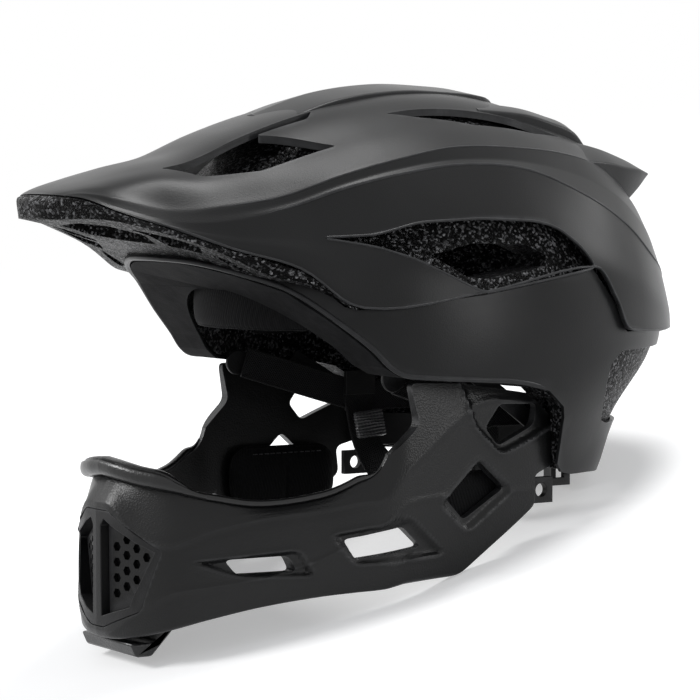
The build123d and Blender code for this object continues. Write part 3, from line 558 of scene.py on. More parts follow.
def cushionMesh(name, places, looks):
    # crowned pad: flat where it lies against the foam, full towards the head, with a sewn edge
    lengths = pathLengths([spot for spot, out in places])
    whole, corner, rings = lengths[-1], looks["corner"], looks["rings"]
    half, thick = looks["height"] / 2, looks["thick"]
    seamDepth = thick * looks["seam"]
    rows = []
    seams = []
    for distance in endSpacing(whole, corner, looks["stations"]):
        spot, out, along = sampleAt(places, lengths, distance)
        up = out.cross(along).normalized()
        gap = min(distance, whole - distance)
        wide = half * (1 - corner / half * (1 - roundedShare(gap, corner)))
        full = roundedShare(gap, thick * looks["endRound"])
        quilt = 1.0
        for channel in looks["channels"]:
            off = (distance / whole - channel) * whole
            quilt -= looks["channelDepth"] * bellAt(off, looks["channelWidth"])
        ring = []
        for k in range(rings):
            c, s = around(k, rings)
            side, depth = squared(c, looks["sidePower"]), squared(s, looks["depthPower"])
            if depth > 0:
                crown = thick * looks["front"] * depth * full * quilt
            else:
                crown = thick * looks["back"] * depth * full
            crown *= 1 - looks["crowning"] * side * side
            ring.append(spot - out * (seamDepth + crown) + up * wide * side)
        rows.append(ring)
        seams.append((spot - out * thick * looks["seam"], up * wide, out))
    points = [place(*p) for ring in rows for p in ring]
    for ring in (rows[0], rows[-1]):
        points.append(place(*(sum(ring, Vector()) / rings)))
    faces = ringFaces(len(rows), rings)
    end = (len(rows) - 1) * rings
    for k in range(rings):
        n = (k + 1) % rings
        faces.append((len(points) - 2, n, k))
        faces.append((len(points) - 1, end + k, end + n))
    loop = [middle + edge for middle, edge, out in seams]
    loop += [middle - edge for middle, edge, out in reversed(seams)]
    return meshFrom(name, points, faces), loop, seams


# Thickness of a tapered tube at its very ends
taperEnd = 0.12


def tubeMesh(shape, loop, radius, sides=8, closed=True, taper=0):
    # a tube along a loop of upright places, added to a bmesh, thin towards its ends with a taper
    rings = []
    count = len(loop)
    for k, spot in enumerate(loop):
        before = loop[(k - 1) % count] if closed else loop[max(k - 1, 0)]
        after = loop[(k + 1) % count] if closed else loop[min(k + 1, count - 1)]
        along = (after - before).normalized()
        if k == 0:
            side = along.orthogonal().normalized()
        else:
            side = (rings[-1][1] - along * rings[-1][1].dot(along)).normalized()
        up = along.cross(side)
        verts = []
        size = radius * min(1, taperEnd + min(k, count - 1 - k) / taper) if taper else radius
        for n in range(sides):
            c, s = around(n, sides)
            verts.append(shape.verts.new(place(*(spot + (side * c * size + up * s * size)))))
        rings.append((verts, side))
    for k in range(count if closed else count - 1):
        one, two = rings[k][0], rings[(k + 1) % count][0]
        slip = 0
        if closed and k == count - 1:
            slip = min(range(sides), key=lambda n: (two[n].co - one[0].co).length)
        for n in range(sides):
            m = (n + 1) % sides
            shape.faces.new((one[n], one[m], two[(m + slip) % sides], two[(n + slip) % sides]))
    if not closed:
        shape.faces.new(list(reversed(rings[0][0])))
        shape.faces.new(rings[-1][0])


def smoothed(mesh):
    shape = shapeOf(mesh)
    bmesh.ops.remove_doubles(shape, verts=shape.verts, dist=meshGap)
    return finishShape(shape, mesh)


def loftMesh(name, strips):
    # closed strips, each a list of rings of upright places with both its ends capped
    points = []
    faces = []
    for strip in strips:
        size, first = len(strip[0]), len(points)
        points += [place(*p) for ring in strip for p in ring]
        last = len(points) - size
        faces += ringFaces(len(strip), size, first)
        faces += [tuple(range(first, first + size)), tuple(reversed(range(last, last + size)))]
    return smoothed(meshFrom(name, points, faces))


# Distance from stitch to stitch, length and radius of a stitch, in metres
threadSize = {"Pitch": 0.0032, "Length": 0.0022, "Radius": 0.00028}


def stitchTree():
    # rows of thread along an edge line: one short rod for each stitch
    tree = bpy.data.node_groups.new("threadRow", "GeometryNodeTree")
    for socketName, kind, value in (
        ("Line", "NodeSocketGeometry", None), ("Thread", "NodeSocketMaterial", None),
        ("Seed", "NodeSocketInt", 7),
        *((key, "NodeSocketFloat", value) for key, value in threadSize.items()),
    ):
        socket = tree.interface.new_socket(socketName, in_out="INPUT", socket_type=kind)
        if value is not None:
            socket.default_value = value
    tree.interface.new_socket("Geometry", in_out="OUTPUT", socket_type="NodeSocketGeometry")
    inside = tree.nodes.new("NodeGroupInput")
    outside = tree.nodes.new("NodeGroupOutput")
    curve = addNode(tree, "GeometryNodeMeshToCurve", None, {"Mesh": inside.outputs["Line"]})
    spaced = addNode(
        tree, "GeometryNodeResampleCurve", None,
        {"Curve": curve.outputs[0], "Length": inside.outputs["Pitch"]}, mode="LENGTH",
    )
    ahead = addNode(tree, "GeometryNodeInputTangent")
    thread = addNode(
        tree, "GeometryNodeMeshCylinder", {"Vertices": 6, "Side Segments": 1, "Fill Segments": 1},
        {"Radius": inside.outputs["Radius"], "Depth": inside.outputs["Length"]},
    )
    turned = addNode(
        tree, "FunctionNodeAlignRotationToVector", None, {"Vector": ahead.outputs[0]}, axis="Z",
    )
    wobble = addNode(
        tree, "FunctionNodeRandomValue", None, {"Seed": inside.outputs["Seed"]}, data_type="FLOAT",
    )
    size = addNode(
        tree, "ShaderNodeMapRange", {"To Min": 0.85, "To Max": 1.12}, {"Value": wobble.outputs[1]},
    )
    rows = addNode(
        tree, "GeometryNodeInstanceOnPoints", None,
        {
            "Points": spaced.outputs[0], "Instance": thread.outputs["Mesh"],
            "Rotation": turned.outputs[0], "Scale": size.outputs[0],
        },
    )
    real = addNode(tree, "GeometryNodeRealizeInstances", None, {"Geometry": rows.outputs[0]})
    painted = addNode(
        tree, "GeometryNodeSetMaterial", None,
        {"Geometry": real.outputs[0], "Material": inside.outputs["Thread"]},
    )
    tree.links.new(painted.outputs[0], outside.inputs["Geometry"])
    return tree


threadRow = stitchTree()


def threadMesh(name, lines, finish):
    # stitches along lines of upright places, as a plain mesh
    points = []
    edges = []
    for line in lines:
        start = len(points)
        points += [place(*p) for p in line]
        edges += [(k, k + 1) for k in range(start, len(points) - 1)]
    maker = addObject(name + "Line", meshFrom(name, points, [], edges))
    nodes = maker.modifiers.new("threads", "NODES")
    nodes.node_group = threadRow
    for item in threadRow.interface.items_tree:
        if item.in_out == "INPUT" and item.name in threadSize:
            nodes[item.identifier] = threadSize[item.name]
        elif item.name == "Thread":
            nodes[item.identifier] = finishes[finish]
    mesh = appliedMesh(name, maker, [maker])
    for face in mesh.polygons:
        face.use_smooth = True
    return mesh


def addLooseMesh(target, extra):
    shape = shapeOf(target)
    shape.from_mesh(extra)
    finishShape(shape, target, False, False)


padStyle = {
    "corner": 5.0, "stations": 40, "rings": 40, "channels": [], "channelDepth": 0.25,
    "channelWidth": 1.6, "piping": 0.75, "endRound": 1.1, "sidePower": 0.62, "depthPower": 0.75,
    "front": 0.64, "back": 0.34, "seam": 0.36, "crowning": 0.22,
    "stitchSet": 2.6, "stitchRise": 0.5, "stitchEnds": 9,
}


def makePad(name, node, bodies):
    # one padded piece from one or more bodies, each a list of places and its looks
    whole = bmesh.new()
    seamLines = []
    for places, looks in bodies:
        values = {**padStyle, **looks}
        mesh, loop, seams = cushionMesh(name, places, values)
        whole.from_mesh(smoothed(mesh))
        bpy.data.meshes.remove(mesh)
        tubeMesh(whole, loop, values["piping"])
        ends, rise = values["stitchEnds"], values["thick"] * values["stitchRise"]
        for side in (1, -1):
            seamLines.append([
                middle + edge * side * (edge.length - values["stitchSet"]) / edge.length - out * rise
                for middle, edge, out in seams[ends:-ends]
            ])
    pad = newPiece(name, finishShape(whole, bpy.data.meshes.new(name)), "pad", [node])
    threads = threadMesh(name + "Stitches", seamLines, "thread")
    newPiece(name + "Stitches", threads, "thread", [], bodyOf(node))


def turnedAbout(places, angle):
    turn = Matrix.Rotation(math.radians(angle), 3, "Y")
    return [(turn @ spot, turn @ out) for spot, out in places]


browPlaces = arcPoints((-50, -74.2, 24), (0, -96.5, 24), (50, -74.2, 24), 60)
browLooks = {"height": 20.0, "thick": 7.0, "channels": [0.2, 0.4, 0.6, 0.8]}
makePad("browPad", "brow_pad", [(browPlaces, browLooks)])


def crownPlaces(rise):
    return arcPoints((0, -55.2, rise - 16.6), (0, 2, rise), (0, 59.2, rise - 16.6), 60)


crownLooks = {"height": 22.0, "thick": 7.0, "corner": 8.0, "channels": [0.25, 0.5, 0.75]}
makePad(
    "crownPads", "crown_pads",
    [
        (turnedAbout(crownPlaces(86.5), -36), crownLooks),
        (crownPlaces(94.0), crownLooks),
        (turnedAbout(crownPlaces(86.5), 36), crownLooks),
    ],
)
templeLooks = {"height": 28.0, "thick": 7.0, "corner": 8.0, "channels": [0.33, 0.67]}
jawPadLooks = {"height": 28.5, "thick": 10.3, "corner": 10.0, "channels": [0.5]}
for side, sign in (("left", 1), ("right", -1)):
    temple = arcPoints((sign * 68.6, -38.2, 20), (sign * 74.4, 2, 20), (sign * 68.6, 38.2, 20), 50)
    makePad("templePad" + side.capitalize(), "temple_pad_" + side, [(temple, templeLooks)])
    flat = [(Vector((sign * 79.8, -42 + 59 * k / 40, -65.7)), Vector((sign, 0, 0))) for k in range(41)]
    makePad("jawPad" + side.capitalize(), "jaw_pad_" + side, [(flat, jawPadLooks)])
print("pads made")


# Places across a strap, as shares of its half width, and its rolled selvedges
webbingForm = {
    "across": (-1, -0.93, -0.86, -0.8, -0.4, 0, 0.4, 0.8, 0.86, 0.93, 1), "steps": 90,
    "roll": 0.35, "rollAt": 0.92, "rollWidth": 0.05, "edge": 0.35,
}


def ribbonMesh(name, places, width, thick):
    # flat webbing through places with facing directions, with rolled selvedges and a UV map
    spots = [Vector(spot) for spot, facing in places]
    faces = [Vector(facing).normalized() for spot, facing in places]
    count, steps = len(spots), webbingForm["steps"]
    path = []
    for k in range(steps + 1):
        share = k / steps * (count - 1)
        n = min(int(share), count - 2)
        t = share - n
        p0, p1, p2, p3 = (spots[min(max(n + step, 0), count - 1)] for step in (-1, 0, 1, 2))
        spot = 0.5 * (
            2 * p1 + (p2 - p0) * t + (2 * p0 - 5 * p1 + 4 * p2 - p3) * t * t
            + (3 * p1 - p0 - 3 * p2 + p3) * t * t * t
        )
        path.append((spot, faces[n].lerp(faces[n + 1], t).normalized()))
    profile = []
    edge = width / 2
    for side in (1, -1):
        for across in webbingForm["across"]:
            roll = bellAt(abs(across) - webbingForm["rollAt"], webbingForm["rollWidth"])
            roll = 1 + webbingForm["roll"] * roll
            roll *= webbingForm["edge"] if abs(across) == 1 else 1
            profile.append((across * side * edge, side * thick / 2 * roll))
    shape = bmesh.new()
    uv = shape.loops.layers.uv.new("UVMap")
    rows = []
    lengths = pathLengths([spot for spot, facing in path])
    for k, (spot, facing) in enumerate(path):
        along = (path[min(k + 1, steps)][0] - path[max(k - 1, 0)][0]).normalized()
        across = along.cross(facing).normalized()
        out = across.cross(along)
        rows.append([shape.verts.new(place(*(spot + across * a + out * o))) for a, o in profile])
    size = len(profile)
    for k in range(steps):
        for n in range(size):
            m = (n + 1) % size
            face = shape.faces.new((rows[k][n], rows[k][m], rows[k + 1][m], rows[k + 1][n]))
            face.smooth = True
            for loop, (row, column) in zip(face.loops, ((k, n), (k, m), (k + 1, m), (k + 1, n))):
                loop[uv].uv = (profile[column][0] / width + 0.5, lengths[row] / 1000)
    shape.faces.new(rows[0])
    shape.faces.new(list(reversed(rows[-1])))
    return finishShape(shape, bpy.data.meshes.new(name), False)


# Each place of a strap with the direction that its flat side faces
sidePaths = [
    [(spot, (1, 0, 0)) for spot in spots] for spots in (
        [(66.2, -40, -8), (62.9, -20, -14.3), (59.5, 0, -20.6), (56, 21, -27)],
        [(56.3, 54, -26), (56.2, 33, -26), (56, 12, -26)],
    )
]
chinPath = [
    ((53.9, 17, -21), (1, 0, 0)), ((53.4, 18, -30), (1, 0, 0.1)), ((49.5, 21, -50), (1, 0, 0.5)),
    ((33, 24, -67), (0.7, 0, 0.8)), ((22, 24.5, -73), (0.4, 0, 1)),
]


def sided(path, sign):
    # a path on the wearer's left, or its mirror image on the right
    return [((a * sign, b, c), (d * sign, e, f)) for (a, b, c), (d, e, f) in path]


strapSize = {"width": 15, "thick": 1.5}
for side, sign in (("left", 1), ("right", -1)):
    mesh = ribbonMesh("sideStrap", sided(sidePaths[0], sign), **strapSize)
    addLooseMesh(mesh, ribbonMesh("sideStrapRear", sided(sidePaths[1], sign), **strapSize))
    newPiece("sideStrap" + side.capitalize(), mesh, "webbing", ["side_strap_" + side])
    mesh = ribbonMesh("chinStrap", sided(chinPath, sign), **strapSize)
    newPiece("chinStrap" + side.capitalize(), mesh, "webbing", ["chin_strap_" + side])


def pleatedMesh(name):
    # padded sleeve round the strap, gathered into pleats along its length
    looks = {
        "pleats": 9, "width": 17.0, "thick": 4.6, "depth": 0.95, "stations": 180, "rings": 36,
        "endRound": 1.4, "sidePower": 0.55, "depthPower": 0.7, "slant": 0.35,
    }
    start, end = Vector((-48, 20, -33)), Vector((-45.5, 21, -46))
    along = (end - start).normalized()
    facing = Vector((1, 0, 0.2)).normalized()
    across = along.cross(facing).normalized()
    out = across.cross(along)
    length = (end - start).length
    rings = []
    for k in range(looks["stations"] + 1):
        share = k / looks["stations"]
        gap = min(share, 1 - share) * length
        wave = abs(math.sin(math.pi * share * looks["pleats"]))
        full = roundedShare(gap, looks["endRound"])
        ring = []
        for n in range(looks["rings"]):
            c, s = around(n, looks["rings"])
            side, depth = squared(c, looks["sidePower"]), squared(s, looks["depthPower"])
            a = side * (looks["width"] / 2 - 0.5 + 0.5 * wave) * (0.9 + 0.1 * full)
            o = depth * (looks["thick"] / 2 - looks["depth"] * (1 - wave ** 0.6)) * full
            slant = looks["slant"] * math.sin(side * 2.2 + share * 9)
            ring.append(start + along * (share * length + slant * wave) + across * a + out * o)
        rings.append(ring)
    return loftMesh(name, [rings])


sleeve = newPiece("strapPad", pleatedMesh("strapPad"), "sleeve", ["pleated_strap_pad"])
print("straps made")


# Curved skins: sections across, joined smoothly along, in upright millimetres
def hermite(knots, values, x):
    # smooth curve through values at rising knots
    n = 0
    while n < len(knots) - 2 and x > knots[n + 1]:
        n += 1
    slopes = []
    for k in (n, n + 1):
        low, high = max(k - 1, 0), min(k + 1, len(knots) - 1)
        slopes.append((values[high] - values[low]) / (knots[high] - knots[low]))
    span = knots[n + 1] - knots[n]
    t = (x - knots[n]) / span
    a, b = values[n], values[n + 1]
    cube = (2 * a - 2 * b + (slopes[0] + slopes[1]) * span) * t ** 3
    square = (3 * b - 3 * a - (2 * slopes[0] + slopes[1]) * span) * t ** 2
    return cube + square + slopes[0] * span * t + a


def curveThrough(points, steps):
    # smooth curve through a few points, steps to each stretch
    knots = [0.0]
    for one, two in zip(points, points[1:]):
        knots.append(knots[-1] + max(math.dist(one, two), tinyGap))
    columns = list(zip(*points))
    curve = []
    for k in range(len(points) - 1):
        for step in range(steps):
            x = knots[k] + (knots[k + 1] - knots[k]) * step / steps
            curve.append(tuple(hermite(knots, column, x) for column in columns))
    curve.append(tuple(points[-1]))
    return curve


def roundedCorner(before, corner, after, radius, steps=4):
    # a corner softened by a short curve
    middle = Vector(corner)
    ends = []
    for other in (before, after):
        reach = math.dist(other, corner)
        ends.append(middle.lerp(Vector(other), min(radius, reach * 0.45) / max(reach, tinyGap)))
    start, end = ends
    points = []
    for k in range(steps + 1):
        t = k / steps
        points.append(tuple(start * (1 - t) ** 2 + middle * 2 * t * (1 - t) + end * t * t))
    return points


def roundedOutline(points, radius, steps=4):
    # closed outline with every corner softened
    outline = []
    for k, corner in enumerate(points):
        outline += roundedCorner(points[k - 1], corner, points[(k + 1) % len(points)], radius, steps)
    return outline


def sampledAlong(points, count):
    # a polyline resampled to count + 1 places evenly along its length
    lengths = [0.0]
    for one, two in zip(points, points[1:]):
        lengths.append(lengths[-1] + math.dist(one, two))
    even = []
    n = 0
    for k in range(count + 1):
        target = lengths[-1] * k / count
        while n < len(points) - 2 and lengths[n + 1] < target:
            n += 1
        share = (target - lengths[n]) / max(lengths[n + 1] - lengths[n], tinySpan)
        even.append(tuple(a + (b - a) * share for a, b in zip(points[n], points[n + 1])))
    return even


def skinMesh(name, outer, inner):
    # closed solid between an outer and an inner grid of upright places
    rows, columns = len(outer), len(outer[0])
    points = [place(*p) for grid in (outer, inner) for row in grid for p in row]
    shift = rows * columns
    faces = []
    for r in range(rows - 1):
        for c in range(columns - 1):
            a, b = r * columns + c, (r + 1) * columns + c
            faces.append((a, a + 1, b + 1, b))
            faces.append((shift + a, shift + b, shift + b + 1, shift + a + 1))
    for r in range(rows - 1):
        a, b = r * columns, (r + 1) * columns
        faces.append((a, b, shift + b, shift + a))
        a, b = a + columns - 1, b + columns - 1
        faces.append((a, shift + a, shift + b, b))
    for c in range(columns - 1):
        faces.append((c, shift + c, shift + c + 1, c + 1))
        a = (rows - 1) * columns + c
        faces.append((a, a + 1, shift + a + 1, shift + a))
    mesh = meshFrom(name, points, faces)
    return finishShape(shapeOf(mesh), mesh, False)


def cutterMesh(name, outline, low, high, axis):
    # prism of an outline along X (from side view), Z (from plan) or Y (from the front)
    points = []
    for depth in (low, high):
        for a, b in outline:
            points.append(place(*{"X": (depth, a, b), "Z": (a, b, depth), "Y": (a, depth, b)}[axis]))
    size = len(outline)
    faces = [tuple(range(size)), tuple(reversed(range(size, 2 * size)))]
    faces += [(k, size + k, size + (k + 1) % size, (k + 1) % size) for k in range(size)]
    mesh = meshFrom(name, points, faces)
    shape = shapeOf(mesh)
    bmesh.ops.triangulate(shape, faces=[f for f in shape.faces if len(f.verts) > 4])
    return finishShape(shape, mesh, False)


def cutMesh(name, mesh, cutters, smoothAngle=30):
    # the mesh with each cutter taken out of it, shaded smooth between its sharp edges
    block = addObject(name + "Block", mesh)
    tools = []
    for cutter in cutters:
        tools.append(addObject(cutter.name, cutter))
        cut = block.modifiers.new("cut", "BOOLEAN")
        cut.operation = "DIFFERENCE"
        cut.solver = "MANIFOLD"
        cut.object = tools[-1]
    ready = appliedMesh(name, block, tools + [block])
    shape = shapeOf(ready)
    bmesh.ops.remove_doubles(shape, verts=shape.verts, dist=meshGap)
    bmesh.ops.dissolve_degenerate(shape, dist=meshGap, edges=shape.edges)
    finishShape(shape, ready, outwards=False)
    ready.set_sharp_from_angle(angle=math.radians(smoothAngle))
    return ready


# Half sizes of the helmet; the tables below are shares of them
headSize = {
    "halfWidth": 104.0, "brow": 140.0, "visor": 190.0, "rear": 142.0, "crown": 124.0, "offset": 2.0,
}


def shellKnot(share):
    return share * (headSize["visor"] if share < 0 else headSize["rear"])


def sidePoints(shares):
    return [(shellKnot(y), z * headSize["crown"]) for y, z in shares]


def planPoints(shares, sign):
    return [(sign * x * headSize["halfWidth"], shellKnot(y)) for x, y in shares]


shellStations = [
    -1, -0.979, -0.942, -0.884, -0.768, -0.653, -0.521, -0.384, -0.237, -0.063,
    0.169, 0.408, 0.592, 0.732, 0.845, 0.923, 0.972, 0.996,
]
# Lines of the upper shell from the ridge down, each a half width and a height at every station:
# ridge, shoulder, crease, foot, ledge, flank, rim and sill
shellLines = [
    [
        (0, 0.577), (0, 0.605), (0, 0.629), (0, 0.656), (0, 0.704), (0, 0.746), (0, 0.83), (0, 0.899),
        (0, 0.952), (0, 0.992), (0, 0.988), (0, 0.931), (0, 0.851), (0, 0.742), (0, 0.613), (0, 0.488),
        (0, 0.323), (0, 0.202),
    ],
    [
        (0.038, 0.574), (0.115, 0.6), (0.192, 0.62), (0.279, 0.633), (0.356, 0.657), (0.423, 0.657),
        (0.486, 0.696), (0.514, 0.758), (0.538, 0.815), (0.548, 0.849), (0.524, 0.849), (0.481, 0.819),
        (0.433, 0.766), (0.385, 0.661), (0.308, 0.544), (0.212, 0.44), (0.135, 0.306), (0.067, 0.19),
    ],
    [
        (0.05, 0.571), (0.154, 0.592), (0.25, 0.608), (0.365, 0.593), (0.481, 0.548), (0.548, 0.563),
        (0.62, 0.597), (0.673, 0.668), (0.692, 0.726), (0.683, 0.774), (0.659, 0.774), (0.611, 0.75),
        (0.548, 0.694), (0.5, 0.585), (0.413, 0.476), (0.308, 0.362), (0.202, 0.262), (0.101, 0.17),
    ],
    [
        (0.056, 0.568), (0.168, 0.589), (0.266, 0.601), (0.385, 0.573), (0.5, 0.526), (0.567, 0.536),
        (0.638, 0.569), (0.69, 0.637), (0.71, 0.69), (0.712, 0.726), (0.702, 0.722), (0.673, 0.677),
        (0.644, 0.597), (0.587, 0.492), (0.481, 0.399), (0.356, 0.306), (0.231, 0.226), (0.115, 0.157),
    ],
    [
        (0.06, 0.565), (0.178, 0.586), (0.279, 0.596), (0.399, 0.56), (0.514, 0.51), (0.587, 0.512),
        (0.654, 0.556), (0.707, 0.625), (0.736, 0.676), (0.745, 0.711), (0.75, 0.694), (0.769, 0.593),
        (0.731, 0.484), (0.663, 0.371), (0.548, 0.298), (0.413, 0.226), (0.269, 0.169), (0.135, 0.129),
    ],
    [
        (0.063, 0.56), (0.186, 0.583), (0.288, 0.592), (0.412, 0.551), (0.529, 0.492), (0.613, 0.462),
        (0.716, 0.452), (0.798, 0.435), (0.851, 0.476), (0.883, 0.5), (0.883, 0.492), (0.851, 0.444),
        (0.801, 0.339), (0.712, 0.258), (0.589, 0.202), (0.457, 0.153), (0.322, 0.121), (0.209, 0.101),
    ],
    [
        (0.067, 0.556), (0.192, 0.581), (0.298, 0.588), (0.423, 0.54), (0.541, 0.476), (0.637, 0.411),
        (0.769, 0.344), (0.87, 0.21), (0.942, 0.226), (0.976, 0.238), (0.972, 0.234), (0.926, 0.21),
        (0.847, 0.161), (0.743, 0.121), (0.613, 0.097), (0.475, 0.073), (0.338, 0.056), (0.227, 0.048),
    ],
    [
        (0.058, 0.536), (0.173, 0.516), (0.279, 0.52), (0.394, 0.51), (0.514, 0.456), (0.606, 0.383),
        (0.748, 0.298), (0.87, 0.185), (0.962, 0.032), (0.999, 0.016), (0.994, 0.016), (0.945, 0.008),
        (0.86, 0), (0.751, 0), (0.618, 0), (0.479, 0), (0.342, 0), (0.232, 0),
    ],
]
# Raised band over the crown, ribs beside it and the spoiler: sections at places along the shell
bandRows = [
    (-0.4, [(0, 0.896), (0.25, 0.868), (0.26, 0.84), (0, 0.84)]),
    (-0.237, [(0, 0.978), (0.25, 0.95), (0.264, 0.9), (0, 0.9)]),
    (-0.063, [(0, 1.016), (0.25, 0.986), (0.264, 0.94), (0, 0.94)]),
    (0.113, [(0, 1.014), (0.24, 0.984), (0.255, 0.94), (0, 0.94)]),
    (0.282, [(0, 0.995), (0.23, 0.966), (0.245, 0.91), (0, 0.91)]),
    (0.324, [(0, 0.96), (0.22, 0.931), (0.235, 0.89), (0, 0.89)]),
]
ribRows = [
    (0.155, [(0.298, 0.948), (0.413, 0.916), (0.423, 0.88), (0.288, 0.91)]),
    (0.352, [(0.308, 0.931), (0.409, 0.899), (0.418, 0.85), (0.298, 0.88)]),
    (0.465, [(0.312, 0.902), (0.404, 0.869), (0.413, 0.81), (0.303, 0.84)]),
    (0.563, [(0.317, 0.863), (0.394, 0.831), (0.404, 0.76), (0.308, 0.79)]),
    (0.613, [(0.322, 0.798), (0.385, 0.778), (0.394, 0.74), (0.312, 0.76)]),
]
spoilerRows = [
    (0.521, [(0, 0.887), (0.442, 0.798), (0.577, 0.722), (0.558, 0.645), (0, 0.645)]),
    (0.648, [(0, 0.802), (0.413, 0.773), (0.519, 0.714), (0.49, 0.58), (0, 0.58)]),
    (0.746, [(0, 0.762), (0.375, 0.746), (0.471, 0.698), (0.442, 0.565), (0, 0.556)]),
    (0.831, [(0, 0.734), (0.337, 0.718), (0.418, 0.69), (0.394, 0.613), (0, 0.597)]),
    (0.901, [(0, 0.698), (0.288, 0.69), (0.356, 0.677), (0.346, 0.666), (0, 0.665)]),
]
shellForm = {
    "top": 9, "side": 8, "along": 170, "wall": 2.6, "crease": 1.5, "edgeSet": 0.5, "under": 24,
    "evenings": 6, "stripSteps": 60, "stripCorner": 1.3, "crownOut": 0.55, "crownDrop": 0.2,
    "bulge": 0.05, "ledgeShare": 0.8,
    "reach": 160, "below": -180, "ventCorner": 2.2, "ventFrom": 66, "ventTo": 190, "sharp": 38,
}
shellKnots = [shellKnot(share) for share in shellStations]


def lineAt(knots, line, y):
    # half width and height of a line of shares at a place along the shell
    x, z = (hermite(knots, [spot[axis] for spot in line], y) for axis in (0, 1))
    return x * headSize["halfWidth"], z * headSize["crown"]


def shellSection(y):
    # half section of the upper shell from the ridge down to below the sill, outer line
    ridge, shoulder, crease, foot, ledge, flank, rim, sill = (
        lineAt(shellKnots, line, y) for line in shellLines
    )
    drop, out = shellForm["crownDrop"], shellForm["bulge"]
    crown = (shellForm["crownOut"] * shoulder[0], ridge[1] - drop * (ridge[1] - shoulder[1]))
    dx, dz = rim[0] - flank[0], rim[1] - flank[1]
    bulge = ((flank[0] + rim[0]) / 2 - out * dz, (flank[1] + rim[1]) / 2 + out * dx)
    steps = shellForm["top"]
    top = curveThrough([(-crown[0], crown[1]), ridge, crown, shoulder, crease], steps)[steps:]
    side = curveThrough([ledge, flank, bulge, rim, sill], shellForm["side"])
    radius = shellForm["crease"]
    line = top[:-1]
    line += roundedCorner(top[-2], crease, foot, radius)
    line += roundedCorner(crease, foot, ledge, radius * shellForm["ledgeShare"])
    line += roundedCorner(foot, ledge, side[1], radius)
    line += side[1:]
    line.append((sill[0] - shellForm["edgeSet"], sill[1] - shellForm["under"]))
    return line


def insetLine(line, wall):
    # a half section moved inwards by the wall, kept on its own side of the middle
    moved = []
    for k, spot in enumerate(line):
        before, after = line[max(k - 1, 0)], line[min(k + 1, len(line) - 1)]
        if k == 0:
            before = (-after[0], after[1])
        dx, dz = after[0] - before[0], after[1] - before[1]
        size = max(math.hypot(dx, dz), tinyGap)
        moved.append((max(spot[0] + dz / size * wall, 0.05 * k), spot[1] - dx / size * wall))
    for _ in range(shellForm["evenings"]):
        between = [
            ((a[0] + 2 * b[0] + c[0]) / 4, (a[1] + 2 * b[1] + c[1]) / 4)
            for a, b, c in zip(moved, moved[1:], moved[2:])
        ]
        moved = [moved[0], *between, moved[-1]]
    return moved


def bothSides(line, y):
    left = [(x, y, z) for x, z in line]
    return [(-x, y, z) for x, z in reversed(line[1:])] + left


def upperShellMesh():
    # sections of the shell, closer together towards both ends
    first, last = shellKnots[0], shellKnots[-1]
    whole = last - first
    outer = []
    inner = []
    for k in range(shellForm["along"] + 1):
        share = k / shellForm["along"]
        y = first + whole * (0.5 - 0.5 * math.cos(math.pi * share)) * 0.35 + whole * share * 0.65
        line = shellSection(y)
        outer.append(bothSides(line, y))
        inner.append(bothSides(insetLine(line, shellForm["wall"]), y * 0.99))
    return skinMesh("crownShell", outer, inner)


seamShares = [
    (-1.04, 0.629), (-0.979, 0.605), (-0.942, 0.592), (-0.884, 0.544), (-0.763, 0.476),
    (-0.653, 0.411), (-0.521, 0.344), (-0.384, 0.203), (-0.084, 0.25), (0.359, 0.331),
    (0.451, 0.21), (0.521, 0.093), (1.13, 0.093),
]
sideVentShares = [
    (-0.463, 0.452), (-0.332, 0.46), (-0.221, 0.504), (-0.058, 0.516), (0.134, 0.505),
    (0.222, 0.481), (0.307, 0.411), (0.362, 0.331), (-0.084, 0.25), (-0.258, 0.379),
    (-0.337, 0.419),
]
frontVentShares = [
    (0.26, -0.732), (0.394, -0.663), (0.49, -0.532), (0.524, -0.337), (0.298, -0.484),
    (0.317, -0.347), (0.26, -0.316),
]
topVentShares = [
    (0.423, -0.163), (0.481, -0.084), (0.529, 0.077), (0.51, 0.331), (0.452, 0.465),
    (0.423, 0.282), (0.423, 0),
]
seamCurve = curveThrough(sidePoints(seamShares), 6)
sideVentLine = roundedOutline(sidePoints(sideVentShares), 5.0)


def shellSide(y, z):
    # half width of the upper shell's flank at a height, in side view
    line = shellSection(y)
    for (x1, z1), (x2, z2) in zip(line[-2:0:-1], line[-3::-1]):
        if z1 <= z <= z2:
            return x1 + (x2 - x1) * (z - z1) / max(z2 - z1, tinyGap)
    return line[-2][0]


lipLooks = {
    "crease": 0.55, "ledge": 0.7, "vent": 0.6, "seam": 0.55, "sink": 0.25, "taper": 16, "steps": 120,
    "seamLift": 0.4, "seamFrom": -170, "seamTo": 132,
}


